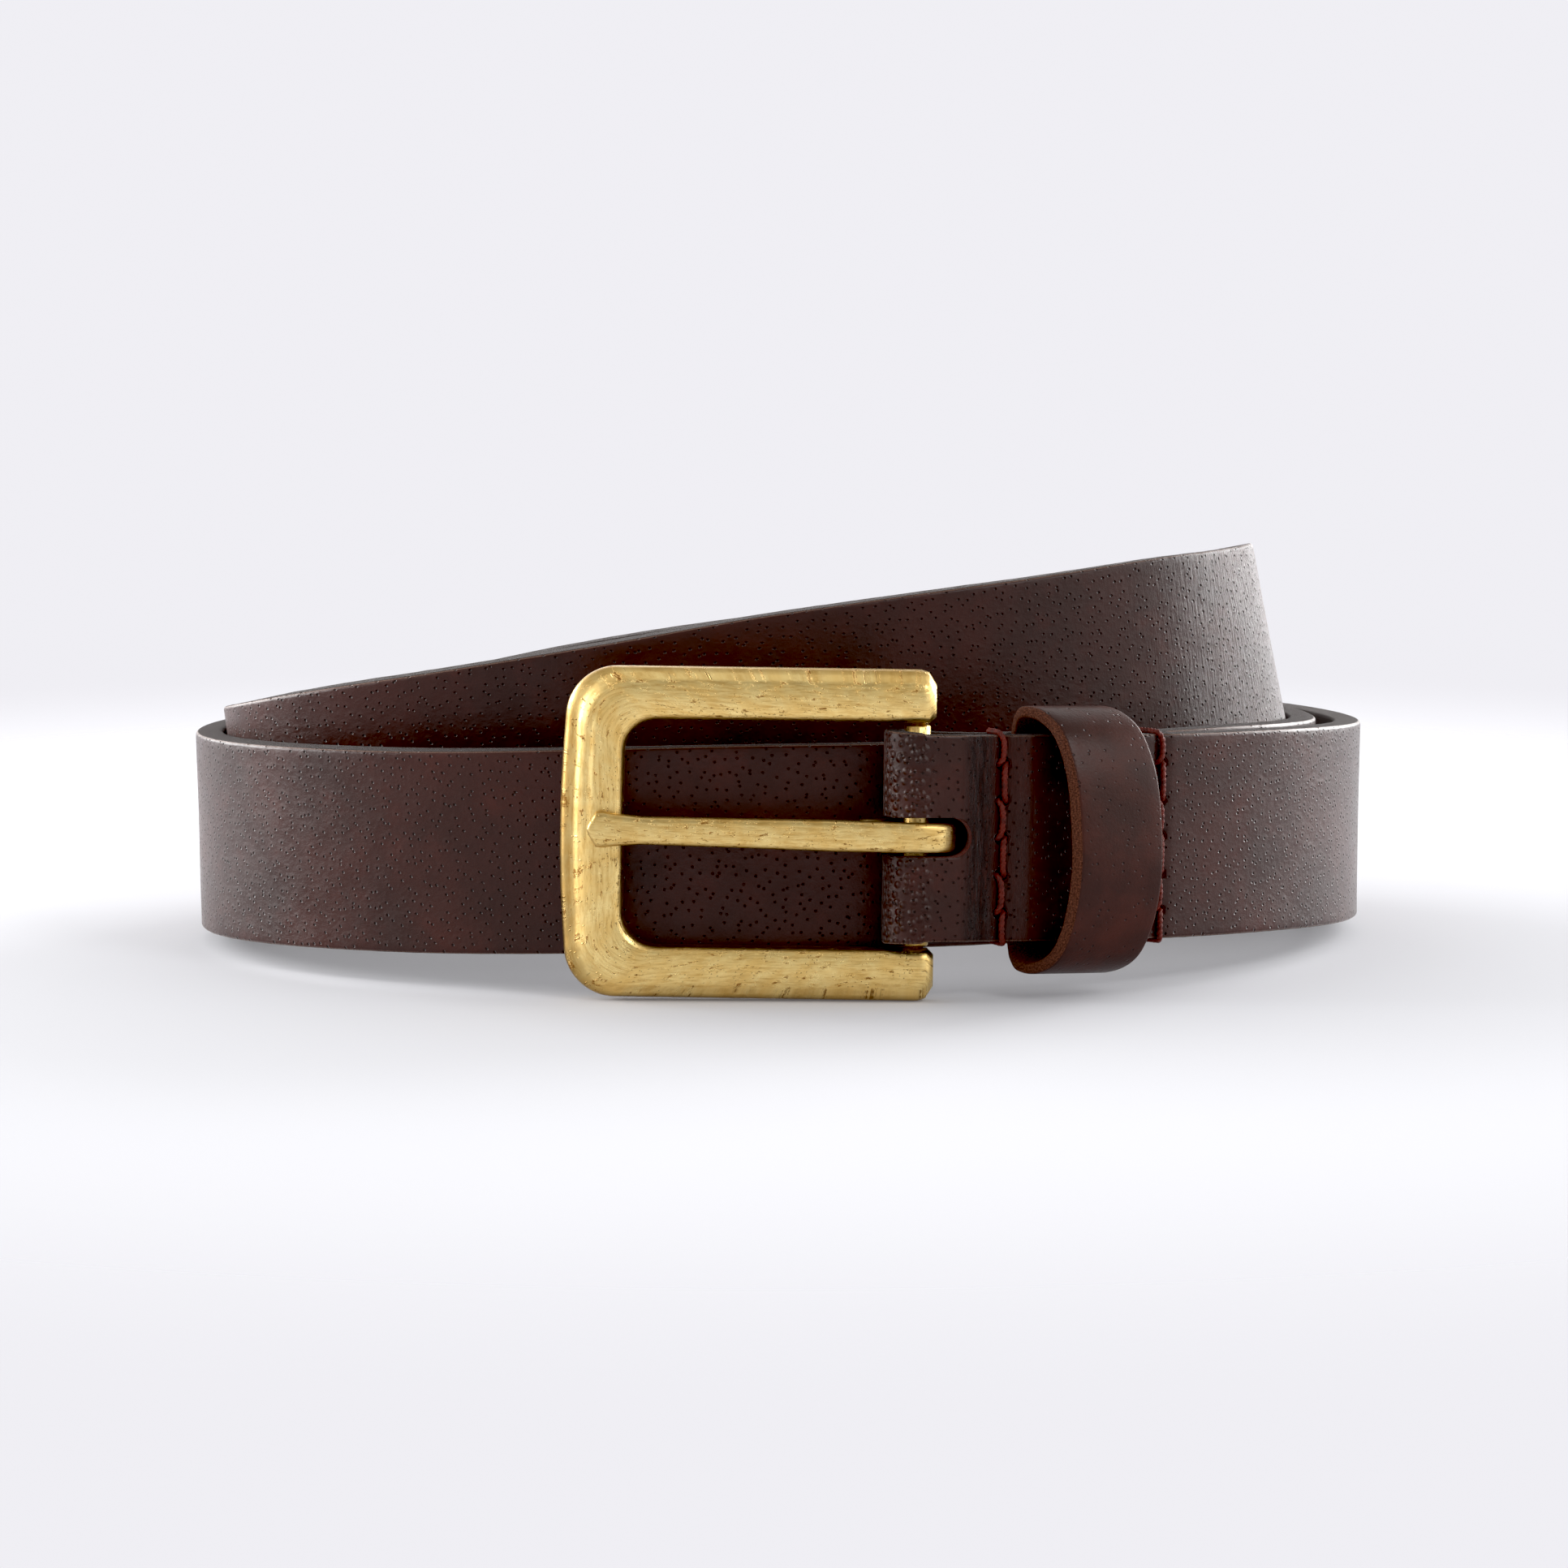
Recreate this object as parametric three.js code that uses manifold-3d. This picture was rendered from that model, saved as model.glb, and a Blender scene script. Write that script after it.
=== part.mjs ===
// A leather belt, coiled and standing on its lower edge, with its buckle at the front.
//
// Millimetres, +Z up, +X along the coil's long axis, -Y towards the buckle. The origin is on
// the surface that the belt stands on, under the middle of the belt's box.
//
// The strap's route is given by its turn, an angle in degrees: 0 is the front, 90 the right end,
// 180 the back, 270 the left end, and so on inwards to the tip. At each turn the
// strap has a foot (the middle of its lower edge), a direction along, a direction up across its
// width, and a direction out through its thickness, towards its grain side.

import * as THREE from 'three';
import { mergeVertices } from 'three/addons/utils/BufferGeometryUtils.js';
import Module from 'manifold-3d';

// Strap
const STRAP_WIDTH = 30;
const STRAP_THICKNESS = 4.2;
const STRAP_EDGE_ROUNDING = 0.6;
const SKIVED_THICKNESS = 2.6;
const TURNBACK_THICKNESS = 2.2;
const GRAIN = STRAP_THICKNESS / 2;
const TIP_LENGTH_IN_TURN = 24;
const TIP_END_SHARE = 0.25;

// The coil: [turn, value], with a smooth line through the values
const COIL_MIDDLE_Y = 2.8;
const HALF_WIDTHS = [[90, 86.5], [270, 86.5], [450, 79.5], [630, 79.5], [810, 76], [990, 73]];
const HALF_DEPTHS = [[0, 68], [180, 64.5], [360, 57.5], [540, 59], [720, 41.5], [900, 42]];
const RISES = [
  [0, 9.3], [45, 6.5], [90, 2.2], [135, 0.45], [165, 0], [195, 0], [225, 0.45], [270, 2.1],
  [315, 4.7], [360, 6.6], [405, 6.1], [450, 2.8], [540, 0.6], [630, 6], [675, 14.3], [700, 19.8],
  [720, 24.4], [745, 28.1], [775, 30.4], [800, 30], [820, 27.7], [850, 22.8], [900, 13.5], [990, 1.2],
];
const LEANS = [
  [0, -3.5], [45, -2.8], [90, 0.5], [135, 0], [225, 0], [270, 1], [315, 1.9], [360, -4.8],
  [405, -2.5], [450, 1], [540, 0.6], [630, 6], [720, -0.7], [810, -11.8], [900, 2], [990, 6],
];

// Places along the strap, as turns
const HEEL_TURN = 9.5;
const ROW_TURNS = [17.2, 34.9];
const KEEPER_TURN = 23.6;
const TURNBACK_END_TURN = 38.5;
const TIP_TURN = 958;
const SKIVE = [[HEEL_TURN, SKIVED_THICKNESS], [45, STRAP_THICKNESS]];
const TURNBACK_DEPTHS = [
  [HEEL_TURN, 5], [16.4, 2.6], [17.9, 2.6], [19.1, 4.2], [32.2, 4.2], [34.1, 2.7], [38.5, 2.6],
];

// Fold around the heel bar
const FOLD_RADIUS = 4.85;
const HEEL_DEPTH = FOLD_RADIUS - GRAIN;
const SLOT_HEIGHT = 5.8;
const SLOT_REACH = 7.3;

// Buckle frame, measured from the heel bar's middle
const FRAME_HALF_HEIGHT = 24.05;
const WINDOW_HALF_HEIGHT = 16.4;
const FRAME_LEFT = -51;
const WINDOW_LEFT = -42.4;
const ARM_END = 2.7;
const FRAME_BACK = -2;
const FRAME_FRONT = 3.2;
const FRAME_OUTER_RADIUS = 7.5;
const FRAME_INNER_RADIUS = 5;
const ARM_END_RADIUS = 2.2;
const FRAME_EDGE_ROUNDING = 1.1;
const FRAME_BOW = 0.7;
const BUCKLE_LIFT = 0.15;
const BUCKLE_SWING = -14;

// Heel bar
const BAR_RADIUS = 1.9;
const SPIGOT_RADIUS = 1.2;
const SPIGOT_LENGTH = 3.4;
const RUNNING_GAP = 0.3;

// Prong
const PRONG_TIP = -47.5;
const PRONG_THICKNESS = 2.5;
const PRONG_MIDDLE_DEPTH = 4.8;
const PRONG_TILT = -0.8;

// Keeper loop
const KEEPER_WIDTH = 12.7;
const KEEPER_THICKNESS = 1.7;
const KEEPER_SKEW = 0.45;

// Stitching
const HOLE_COUNT = 5;
const HOLE_SPACING = 5.4;
const HOLE_HALF_HEIGHT = 0.95;
const HOLE_HALF_LENGTH = 1.35;
const THREAD_RADIUS = 0.4;
const THREAD_PAIR_OFFSET = 0.55;
const THREAD_GAP = 0.3;

// Punched holes for the prong
const PUNCH_COUNT = 5;
const PUNCH_RADIUS = 2.4;
const PUNCH_FIRST_TURN = 838;
const PUNCH_STEP_IN_TURN = 23;

const wasm = await Module();
wasm.setup();

const leather = new THREE.MeshStandardMaterial({ color: 0x3a2422, roughness: 0.45, metalness: 0 });
const keeperLeather = new THREE.MeshStandardMaterial({ color: 0x35211f, roughness: 0.4, metalness: 0 });
const brass = new THREE.MeshStandardMaterial({ color: 0xb9954b, roughness: 0.38, metalness: 1 });
const thread = new THREE.MeshStandardMaterial({ color: 0x7c3020, roughness: 0.8, metalness: 0 });

// ---------------------------------------------------------------- the strap's route

// A smooth line through [turn, value] stations, level at each highest and lowest one.
function valueAt(stations, turn) {
  const last = stations.length - 1;
  if (turn <= stations[0][0]) return stations[0][1];
  if (turn >= stations[last][0]) return stations[last][1];
  const index = stations.findIndex(([at]) => at > turn) - 1;
  const slopeAt = (k) => {
    if (k === 0 || k === last) return 0;
    const rise = stations[k + 1][1] - stations[k][1];
    const riseBefore = stations[k][1] - stations[k - 1][1];
    if (rise * riseBefore <= 0) return 0;
    return (rise + riseBefore) / (stations[k + 1][0] - stations[k - 1][0]);
  };
  const [from, low] = stations[index];
  const [to, high] = stations[index + 1];
  const span = to - from;
  const u = (turn - from) / span;
  const smooth = u * u * (3 - 2 * u);
  const leaving = slopeAt(index) * span * u * (1 - u) * (1 - u);
  const arriving = slopeAt(index + 1) * span * u * u * (1 - u);
  return low + (high - low) * smooth + leaving - arriving;
}

function footAt(turn) {
  const angle = THREE.MathUtils.degToRad(turn);
  const x = valueAt(HALF_WIDTHS, turn) * Math.sin(angle);
  const y = COIL_MIDDLE_Y - valueAt(HALF_DEPTHS, turn) * Math.cos(angle);
  return new THREE.Vector3(x, y, valueAt(RISES, turn));
}

function frameAt(turn) {
  const along = footAt(turn + 0.5).sub(footAt(turn - 0.5)).normalize();
  const level = new THREE.Vector3(along.y, -along.x, 0).normalize();
  const upright = new THREE.Vector3().crossVectors(level, along);
  const lean = THREE.MathUtils.degToRad(valueAt(LEANS, turn));
  const up = upright.clone().multiplyScalar(Math.cos(lean)).addScaledVector(level, Math.sin(lean));
  const out = level.clone().multiplyScalar(Math.cos(lean)).addScaledVector(upright, -Math.sin(lean));
  return { foot: footAt(turn), along, up, out };
}

// A point of the strap: sideways along it, out of its middle layer, and up across its width.
function place(turn, outwards, upwards, sideways = 0) {
  const { foot, along, up, out } = frameAt(turn);
  return foot.addScaledVector(out, outwards).addScaledVector(up, upwards).addScaledVector(along, sideways);
}

// Millimetres of strap for one degree of turn.
function lengthPerTurn(turn) {
  return footAt(turn + 0.5).distanceTo(footAt(turn - 0.5));
}

// A frame at one turn, as the matrix of a group with X along, Y up and Z out.
function matrixAt(turn, outwards, upwards) {
  const { along, up, out } = frameAt(turn);
  return new THREE.Matrix4().makeBasis(along, up, out).setPosition(place(turn, outwards, upwards));
}

// ---------------------------------------------------------------- solids

function solidFrom(geometry) {
  const bare = geometry.clone();
  bare.deleteAttribute('normal');
  bare.deleteAttribute('uv');
  const merged = mergeVertices(bare, 1e-4);
  return new wasm.Manifold(new wasm.Mesh({
    numProp: 3,
    vertProperties: new Float32Array(merged.attributes.position.array),
    triVerts: new Uint32Array(merged.index.array),
  }));
}

function geometryFrom(solid) {
  const mesh = solid.getMesh();
  const geometry = new THREE.BufferGeometry();
  geometry.setAttribute('position', new THREE.BufferAttribute(new Float32Array(mesh.vertProperties), 3));
  geometry.setIndex(new THREE.BufferAttribute(new Uint32Array(mesh.triVerts), 1));
  geometry.computeVertexNormals();
  return geometry;
}

function without(geometry, cutters) {
  let solid = solidFrom(geometry);
  for (const cutter of cutters) {
    solid = solid.subtract(solidFrom(cutter));
  }
  return geometryFrom(solid);
}

function named(name, geometry, material) {
  const mesh = new THREE.Mesh(geometry, material.clone());
  mesh.name = name;
  return mesh;
}

// ---------------------------------------------------------------- strap

const TURNBACK_STEPS = 29;
const FOLD_STEPS = 10;
const COIL_STEPS = 156;
const STRAP_STEPS = TURNBACK_STEPS + FOLD_STEPS + COIL_STEPS;

// The grain side's and the flesh side's lower corners, and the way up, at one step of the strap,
// from the turnback's end, round the heel bar, to the tip.
function strapStation(step) {
  if (step < TURNBACK_STEPS) {
    const turn = THREE.MathUtils.lerp(TURNBACK_END_TURN, HEEL_TURN, step / TURNBACK_STEPS);
    const flesh = -valueAt(TURNBACK_DEPTHS, turn);
    return {
      grain: place(turn, flesh - TURNBACK_THICKNESS, 0),
      flesh: place(turn, flesh, 0),
      up: frameAt(turn).up,
    };
  }
  if (step <= TURNBACK_STEPS + FOLD_STEPS) {
    const angle = Math.PI * (1 - (step - TURNBACK_STEPS) / FOLD_STEPS);
    const { along, up, out } = frameAt(HEEL_TURN);
    const away = out.multiplyScalar(Math.cos(angle)).addScaledVector(along, -Math.sin(angle));
    const axis = place(HEEL_TURN, -HEEL_DEPTH, 0);
    return {
      grain: axis.clone().addScaledVector(away, FOLD_RADIUS),
      flesh: axis.clone().addScaledVector(away, FOLD_RADIUS - SKIVED_THICKNESS),
      up,
    };
  }
  const share = (step - TURNBACK_STEPS - FOLD_STEPS) / COIL_STEPS;
  const turn = THREE.MathUtils.lerp(HEEL_TURN, TIP_TURN, share);
  return {
    grain: place(turn, GRAIN, 0),
    flesh: place(turn, GRAIN - valueAt(SKIVE, turn), 0),
    up: frameAt(turn).up,
  };
}

// How much of its width the strap keeps at one step: all of it, but for the rounded tip.
function widthShare(step) {
  const stepsPerTurn = COIL_STEPS / (TIP_TURN - HEEL_TURN);
  const turnsLeft = (STRAP_STEPS - step) / stepsPerTurn;
  const into = THREE.MathUtils.clamp(1 - turnsLeft / TIP_LENGTH_IN_TURN, 0, 1);
  return TIP_END_SHARE + (1 - TIP_END_SHARE) * Math.sqrt(1 - into * into);
}

// The section is a unit square with cut corners: x from the grain side to the flesh side, y up.
function strapSection() {
  const acrossThickness = STRAP_EDGE_ROUNDING / STRAP_THICKNESS;
  const acrossWidth = STRAP_EDGE_ROUNDING / STRAP_WIDTH;
  const section = new THREE.Shape();
  section.moveTo(acrossThickness, 0);
  section.lineTo(1 - acrossThickness, 0);
  section.lineTo(1, acrossWidth);
  section.lineTo(1, 1 - acrossWidth);
  section.lineTo(1 - acrossThickness, 1);
  section.lineTo(acrossThickness, 1);
  section.lineTo(0, 1 - acrossWidth);
  section.lineTo(0, acrossWidth);
  return section;
}

function bentStrap() {
  const straight = new THREE.ExtrudeGeometry(strapSection(), {
    depth: STRAP_STEPS,
    steps: STRAP_STEPS,
    bevelEnabled: false,
  });
  const points = straight.attributes.position;
  for (let i = 0; i < points.count; i += 1) {
    const step = Math.round(points.getZ(i));
    const { grain, flesh, up } = strapStation(step);
    const height = STRAP_WIDTH * (0.5 + (points.getY(i) - 0.5) * widthShare(step));
    const point = grain.lerp(flesh, points.getX(i)).addScaledVector(up, height);
    points.setXYZ(i, point.x, point.y, point.z);
  }
  return straight;
}

// The long hole through both layers of the fold that the prong swings in.
function prongSlot() {
  const radius = SLOT_HEIGHT / 2;
  const outline = new THREE.Shape();
  outline.moveTo(-SLOT_REACH, -radius);
  outline.lineTo(SLOT_REACH - radius, -radius);
  outline.absarc(SLOT_REACH - radius, 0, radius, -Math.PI / 2, Math.PI / 2);
  outline.lineTo(-SLOT_REACH, radius);
  const depth = 2 * FOLD_RADIUS + 3;
  const slot = new THREE.ExtrudeGeometry(outline, { depth, bevelEnabled: false, curveSegments: 5 });
  slot.translate(0, 0, -FOLD_RADIUS - RUNNING_GAP);
  return slot.applyMatrix4(heelMatrix());
}

// An upright hole through the strap, as deep as the turnback but short of the layer behind it.
function roundCutter(turn, height, halfHeight, halfLength, sides) {
  const inwards = 6.2;
  const outwards = 4;
  const cutter = new THREE.CylinderGeometry(halfHeight, halfHeight, inwards + outwards, sides);
  cutter.rotateX(Math.PI / 2);
  cutter.scale(halfLength / halfHeight, 1, 1);
  cutter.translate(0, 0, (outwards - inwards) / 2);
  return cutter.applyMatrix4(matrixAt(turn, 0, height));
}

function holeHeight(index) {
  return STRAP_WIDTH / 2 + (index - (HOLE_COUNT - 1) / 2) * HOLE_SPACING;
}

function buildStrap() {
  const cutters = [prongSlot()];
  for (const turn of ROW_TURNS) {
    for (let i = 0; i < HOLE_COUNT; i += 1) {
      cutters.push(roundCutter(turn, holeHeight(i), HOLE_HALF_HEIGHT, HOLE_HALF_LENGTH, 8));
    }
  }
  for (let i = 0; i < PUNCH_COUNT; i += 1) {
    const turn = PUNCH_FIRST_TURN + i * PUNCH_STEP_IN_TURN;
    cutters.push(roundCutter(turn, STRAP_WIDTH / 2, PUNCH_RADIUS, PUNCH_RADIUS, 12));
  }
  return named('strap', without(bentStrap(), cutters), leather);
}

// ---------------------------------------------------------------- buckle

// The heel bar's middle, with X along the strap, Y along the bar and Z out.
function heelMatrix() {
  return matrixAt(HEEL_TURN, -HEEL_DEPTH, STRAP_WIDTH / 2 + BUCKLE_LIFT);
}

// A frame open at the right: two arms joined by the bar that the prong rests on.
function frameOutline(inset) {
  const top = FRAME_HALF_HEIGHT - inset;
  const left = FRAME_LEFT + inset;
  const right = ARM_END - inset;
  const windowTop = WINDOW_HALF_HEIGHT + inset;
  const windowLeft = WINDOW_LEFT - inset;
  const corner = FRAME_OUTER_RADIUS - inset;
  const end = ARM_END_RADIUS;
  const inner = FRAME_INNER_RADIUS + inset;
  const outline = new THREE.Shape();
  outline.moveTo(right, -windowTop);
  outline.lineTo(windowLeft + inner, -windowTop);
  outline.absarc(windowLeft + inner, -windowTop + inner, inner, -Math.PI / 2, Math.PI, true);
  outline.lineTo(windowLeft, windowTop - inner);
  outline.absarc(windowLeft + inner, windowTop - inner, inner, Math.PI, Math.PI / 2, true);
  outline.lineTo(right, windowTop);
  outline.lineTo(right, top - end);
  outline.absarc(right - end, top - end, end, 0, Math.PI / 2);
  outline.lineTo(left + corner, top);
  outline.absarc(left + corner, top - corner, corner, Math.PI / 2, Math.PI);
  outline.quadraticCurveTo(left - 2 * FRAME_BOW, 0, left, -top + corner);
  outline.absarc(left + corner, -top + corner, corner, Math.PI, 1.5 * Math.PI);
  outline.lineTo(right - end, -top);
  outline.absarc(right - end, -top + end, end, -Math.PI / 2, 0);
  return outline;
}

function buildBuckleFrame() {
  const rounding = FRAME_EDGE_ROUNDING;
  const body = new THREE.ExtrudeGeometry(frameOutline(rounding), {
    depth: FRAME_FRONT - FRAME_BACK - 2 * rounding,
    bevelThickness: rounding,
    bevelSize: rounding,
    bevelSegments: 3,
    curveSegments: 6,
  });
  body.translate(0, 0, FRAME_BACK + rounding);
  const boreDepth = SPIGOT_LENGTH + RUNNING_GAP;
  const cutters = [1, -1].map((side) => {
    const bore = new THREE.CylinderGeometry(SPIGOT_RADIUS + RUNNING_GAP, SPIGOT_RADIUS + RUNNING_GAP,
      2 * boreDepth, 14);
    return bore.translate(0, side * WINDOW_HALF_HEIGHT, 0);
  });
  return named('buckle_frame', without(body, cutters), brass);
}

function buildHeelBar() {
  const shoulder = WINDOW_HALF_HEIGHT - RUNNING_GAP;
  const end = WINDOW_HALF_HEIGHT + SPIGOT_LENGTH - RUNNING_GAP;
  const profile = [
    new THREE.Vector2(0, -end),
    new THREE.Vector2(SPIGOT_RADIUS, -end),
    new THREE.Vector2(SPIGOT_RADIUS, -shoulder),
    new THREE.Vector2(BAR_RADIUS, -shoulder),
    new THREE.Vector2(BAR_RADIUS, shoulder),
    new THREE.Vector2(SPIGOT_RADIUS, shoulder),
    new THREE.Vector2(SPIGOT_RADIUS, end),
    new THREE.Vector2(0, end),
  ];
  return named('heel_bar', new THREE.LatheGeometry(profile, 18), brass);
}

// ---------------------------------------------------------------- prong

// The outline of a strip of even thickness along a flat curve.
function stripOutline(curve, thickness, divisions) {
  const left = [];
  const right = [];
  for (let i = 0; i <= divisions; i += 1) {
    const point = curve.getPoint(i / divisions);
    const tangent = curve.getTangent(i / divisions);
    const across = new THREE.Vector3(-tangent.y, tangent.x, 0).multiplyScalar(thickness / 2);
    left.push(new THREE.Vector2(point.x + across.x, point.y + across.y));
    right.push(new THREE.Vector2(point.x - across.x, point.y - across.y));
  }
  return new THREE.Shape([...left, ...right.reverse()]);
}

// Seen from above: straight from the tip, round the front, right and back of the heel bar, with
// its end tucked in behind the prong.
function prongSide() {
  const depth = PRONG_MIDDLE_DEPTH;
  const route = new THREE.CatmullRomCurve3([
    new THREE.Vector3(PRONG_TIP, depth, 0),
    new THREE.Vector3(PRONG_TIP / 2, depth, 0),
    new THREE.Vector3(-6, depth, 0),
    new THREE.Vector3(0.5, depth - 0.1, 0),
    new THREE.Vector3(3.6, 3.2, 0),
    new THREE.Vector3(4.4, 0.4, 0),
    new THREE.Vector3(2.7, -2.5, 0),
    new THREE.Vector3(0, -3.5, 0),
    new THREE.Vector3(-2.9, -2.3, 0),
    new THREE.Vector3(-5.2, 0, 0),
    new THREE.Vector3(-8, 1.4, 0),
  ]);
  const side = new THREE.ExtrudeGeometry(stripOutline(route, PRONG_THICKNESS, 44), {
    depth: 10,
    bevelEnabled: false,
  });
  return side.translate(0, 0, -5).rotateX(Math.PI / 2);
}

// Seen from the front: a blunt point, a flare behind it, and a slim shank.
function prongFace() {
  const upper = [[PRONG_TIP, 0.5], [-46.2, 2.6], [-43.5, 2.35], [-39.8, 2], [-12, 2.25], [10, 2.1]];
  const outline = [
    ...upper.map(([x, y]) => new THREE.Vector2(x, -y)),
    ...upper.reverse().map(([x, y]) => new THREE.Vector2(x, y)),
  ];
  const face = new THREE.ExtrudeGeometry(new THREE.Shape(outline), { depth: 20, bevelEnabled: false });
  return face.translate(0, 0, -10);
}

function buildProng() {
  const solid = solidFrom(prongSide()).intersect(solidFrom(prongFace()));
  const prong = named('prong', geometryFrom(solid), brass);
  prong.rotation.z = THREE.MathUtils.degToRad(PRONG_TILT);
  return prong;
}

// ---------------------------------------------------------------- keeper loop

// Across the strap: x out, y up. The back of the loop lies in the pocket between the layers.
function keeperSection() {
  const middle = new THREE.CatmullRomCurve3([
    new THREE.Vector3(-2.8, 0, 0),
    new THREE.Vector3(-2.8, 3.5, 0),
    new THREE.Vector3(-2.8, 15, 0),
    new THREE.Vector3(-2.8, 27, 0),
    new THREE.Vector3(-2.7, 30.6, 0),
    new THREE.Vector3(-1.2, 32.8, 0),
    new THREE.Vector3(2.2, 33.2, 0),
    new THREE.Vector3(6, 31, 0),
    new THREE.Vector3(8.6, 25.5, 0),
    new THREE.Vector3(9.8, 18, 0),
    new THREE.Vector3(10, 10, 0),
    new THREE.Vector3(8.8, 2.6, 0),
    new THREE.Vector3(6.2, -2.2, 0),
    new THREE.Vector3(2.2, -3.9, 0),
    new THREE.Vector3(-1.3, -2.8, 0),
  ], true);
  const outer = [];
  const inner = [];
  const divisions = 40;
  for (let i = 0; i < divisions; i += 1) {
    const point = middle.getPoint(i / divisions);
    const tangent = middle.getTangent(i / divisions);
    const half = KEEPER_THICKNESS / 2;
    outer.push(new THREE.Vector2(point.x - tangent.y * half, point.y + tangent.x * half));
    inner.push(new THREE.Vector2(point.x + tangent.y * half, point.y - tangent.x * half));
  }
  const section = new THREE.Shape(outer);
  section.holes.push(new THREE.Path(inner.reverse()));
  return section;
}

function buildKeeper() {
  const steps = 5;
  const loop = new THREE.ExtrudeGeometry(keeperSection(), { depth: 1, steps, bevelEnabled: false });
  const points = loop.attributes.position;
  for (let i = 0; i < points.count; i += 1) {
    const outwards = points.getX(i);
    const sideways = KEEPER_WIDTH * (0.5 - points.getZ(i)) + KEEPER_SKEW * Math.max(outwards, 0);
    const turn = KEEPER_TURN + sideways / lengthPerTurn(KEEPER_TURN);
    const point = place(turn, outwards, points.getY(i));
    points.setXYZ(i, point.x, point.y, point.z);
  }
  return named('keeper_loop', loop, keeperLeather);
}

// ---------------------------------------------------------------- stitching

// One of a row's two threads: in and out through the holes, over one edge of the strap. The other
// thread fills the gaps between its stitches.
function threadRoute(turn, startsAtFront) {
  const front = GRAIN + THREAD_RADIUS + THREAD_GAP + 0.1;
  const flesh = -valueAt(TURNBACK_DEPTHS, turn);
  const back = flesh - TURNBACK_THICKNESS - THREAD_RADIUS - THREAD_GAP - 0.1;
  const clear = THREAD_RADIUS + THREAD_GAP;
  const bend = 1;
  const route = [];
  let side = startsAtFront ? front : back;
  if (startsAtFront) {
    route.push([back + 2, -clear], [front - 1.2, -clear], [front, 0.6]);
  } else {
    route.push([back, holeHeight(0) - 2.6]);
  }
  for (let i = 0; i < HOLE_COUNT; i += 1) {
    const other = side === front ? back : front;
    const height = holeHeight(i);
    const step = side === front ? -1 : 1;
    route.push([side, height - bend], [side + 0.8 * step, height]);
    route.push([other - 0.8 * step, height], [other, height + bend]);
    side = other;
  }
  if (side === front) {
    route.push([front, STRAP_WIDTH - 0.6], [front - 1.2, STRAP_WIDTH + clear]);
    route.push([back + 2, STRAP_WIDTH + clear]);
  } else {
    route.push([back, holeHeight(HOLE_COUNT - 1) + 2.6]);
  }
  return route;
}

function buildThread(name, turn, startsAtFront) {
  const offset = startsAtFront ? THREAD_PAIR_OFFSET : -THREAD_PAIR_OFFSET;
  const points = threadRoute(turn, startsAtFront).map(([t, v]) => place(turn, t, v, offset));
  const section = new THREE.Shape().absarc(0, 0, THREAD_RADIUS, 0, 2 * Math.PI);
  const strand = new THREE.ExtrudeGeometry(section, {
    extrudePath: new THREE.CatmullRomCurve3(points),
    steps: 64,
    curveSegments: 3,
  });
  return named(name, strand, thread);
}

// ---------------------------------------------------------------- the belt

const buckle = new THREE.Group();
buckle.rotation.y = THREE.MathUtils.degToRad(BUCKLE_SWING);
buckle.add(buildBuckleFrame(), buildHeelBar(), buildProng());

const heel = new THREE.Group();
heel.applyMatrix4(heelMatrix());
heel.add(buckle);

const belt = new THREE.Group();
belt.add(buildStrap(), heel, buildKeeper());
ROW_TURNS.forEach((turn, row) => {
  belt.add(buildThread(`stitch_row_${row + 1}_thread_a`, turn, false));
  belt.add(buildThread(`stitch_row_${row + 1}_thread_b`, turn, true));
});

export default belt;
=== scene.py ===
"""The looks of a coiled leather belt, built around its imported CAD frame.

Lengths here are millimetres until mesh_from() and the camera and lights turn them into metres.
The strap's route repeats the CAD source's: a turn of 0 degrees is the front of the coil, 90 the
right end, 180 the back, 270 the left end, and so on inwards to the tip.
"""

import math

import bpy
import numpy as np
from mathutils import Matrix, Vector, noise


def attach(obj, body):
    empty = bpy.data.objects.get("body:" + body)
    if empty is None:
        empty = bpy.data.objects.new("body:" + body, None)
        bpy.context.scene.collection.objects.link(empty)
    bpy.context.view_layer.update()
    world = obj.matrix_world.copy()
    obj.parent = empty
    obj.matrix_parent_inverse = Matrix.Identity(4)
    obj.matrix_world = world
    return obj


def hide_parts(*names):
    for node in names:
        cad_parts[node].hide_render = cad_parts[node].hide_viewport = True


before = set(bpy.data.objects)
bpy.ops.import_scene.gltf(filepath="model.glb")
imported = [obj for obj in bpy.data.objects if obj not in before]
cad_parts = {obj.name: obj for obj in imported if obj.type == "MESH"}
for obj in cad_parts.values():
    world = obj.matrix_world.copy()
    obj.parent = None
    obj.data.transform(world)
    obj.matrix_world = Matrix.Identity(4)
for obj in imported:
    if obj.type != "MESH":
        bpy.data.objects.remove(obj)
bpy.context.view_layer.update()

MM = 0.001

# ---------------------------------------------------------------- sizes shared with the CAD source

STRAP_WIDTH = 30.0
STRAP_THICKNESS = 4.2
SKIVED_THICKNESS = 2.6
TURNBACK_THICKNESS = 2.2
GRAIN = STRAP_THICKNESS / 2
TIP_LENGTH_IN_TURN = 24.0
TIP_END_SHARE = 0.25

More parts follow.
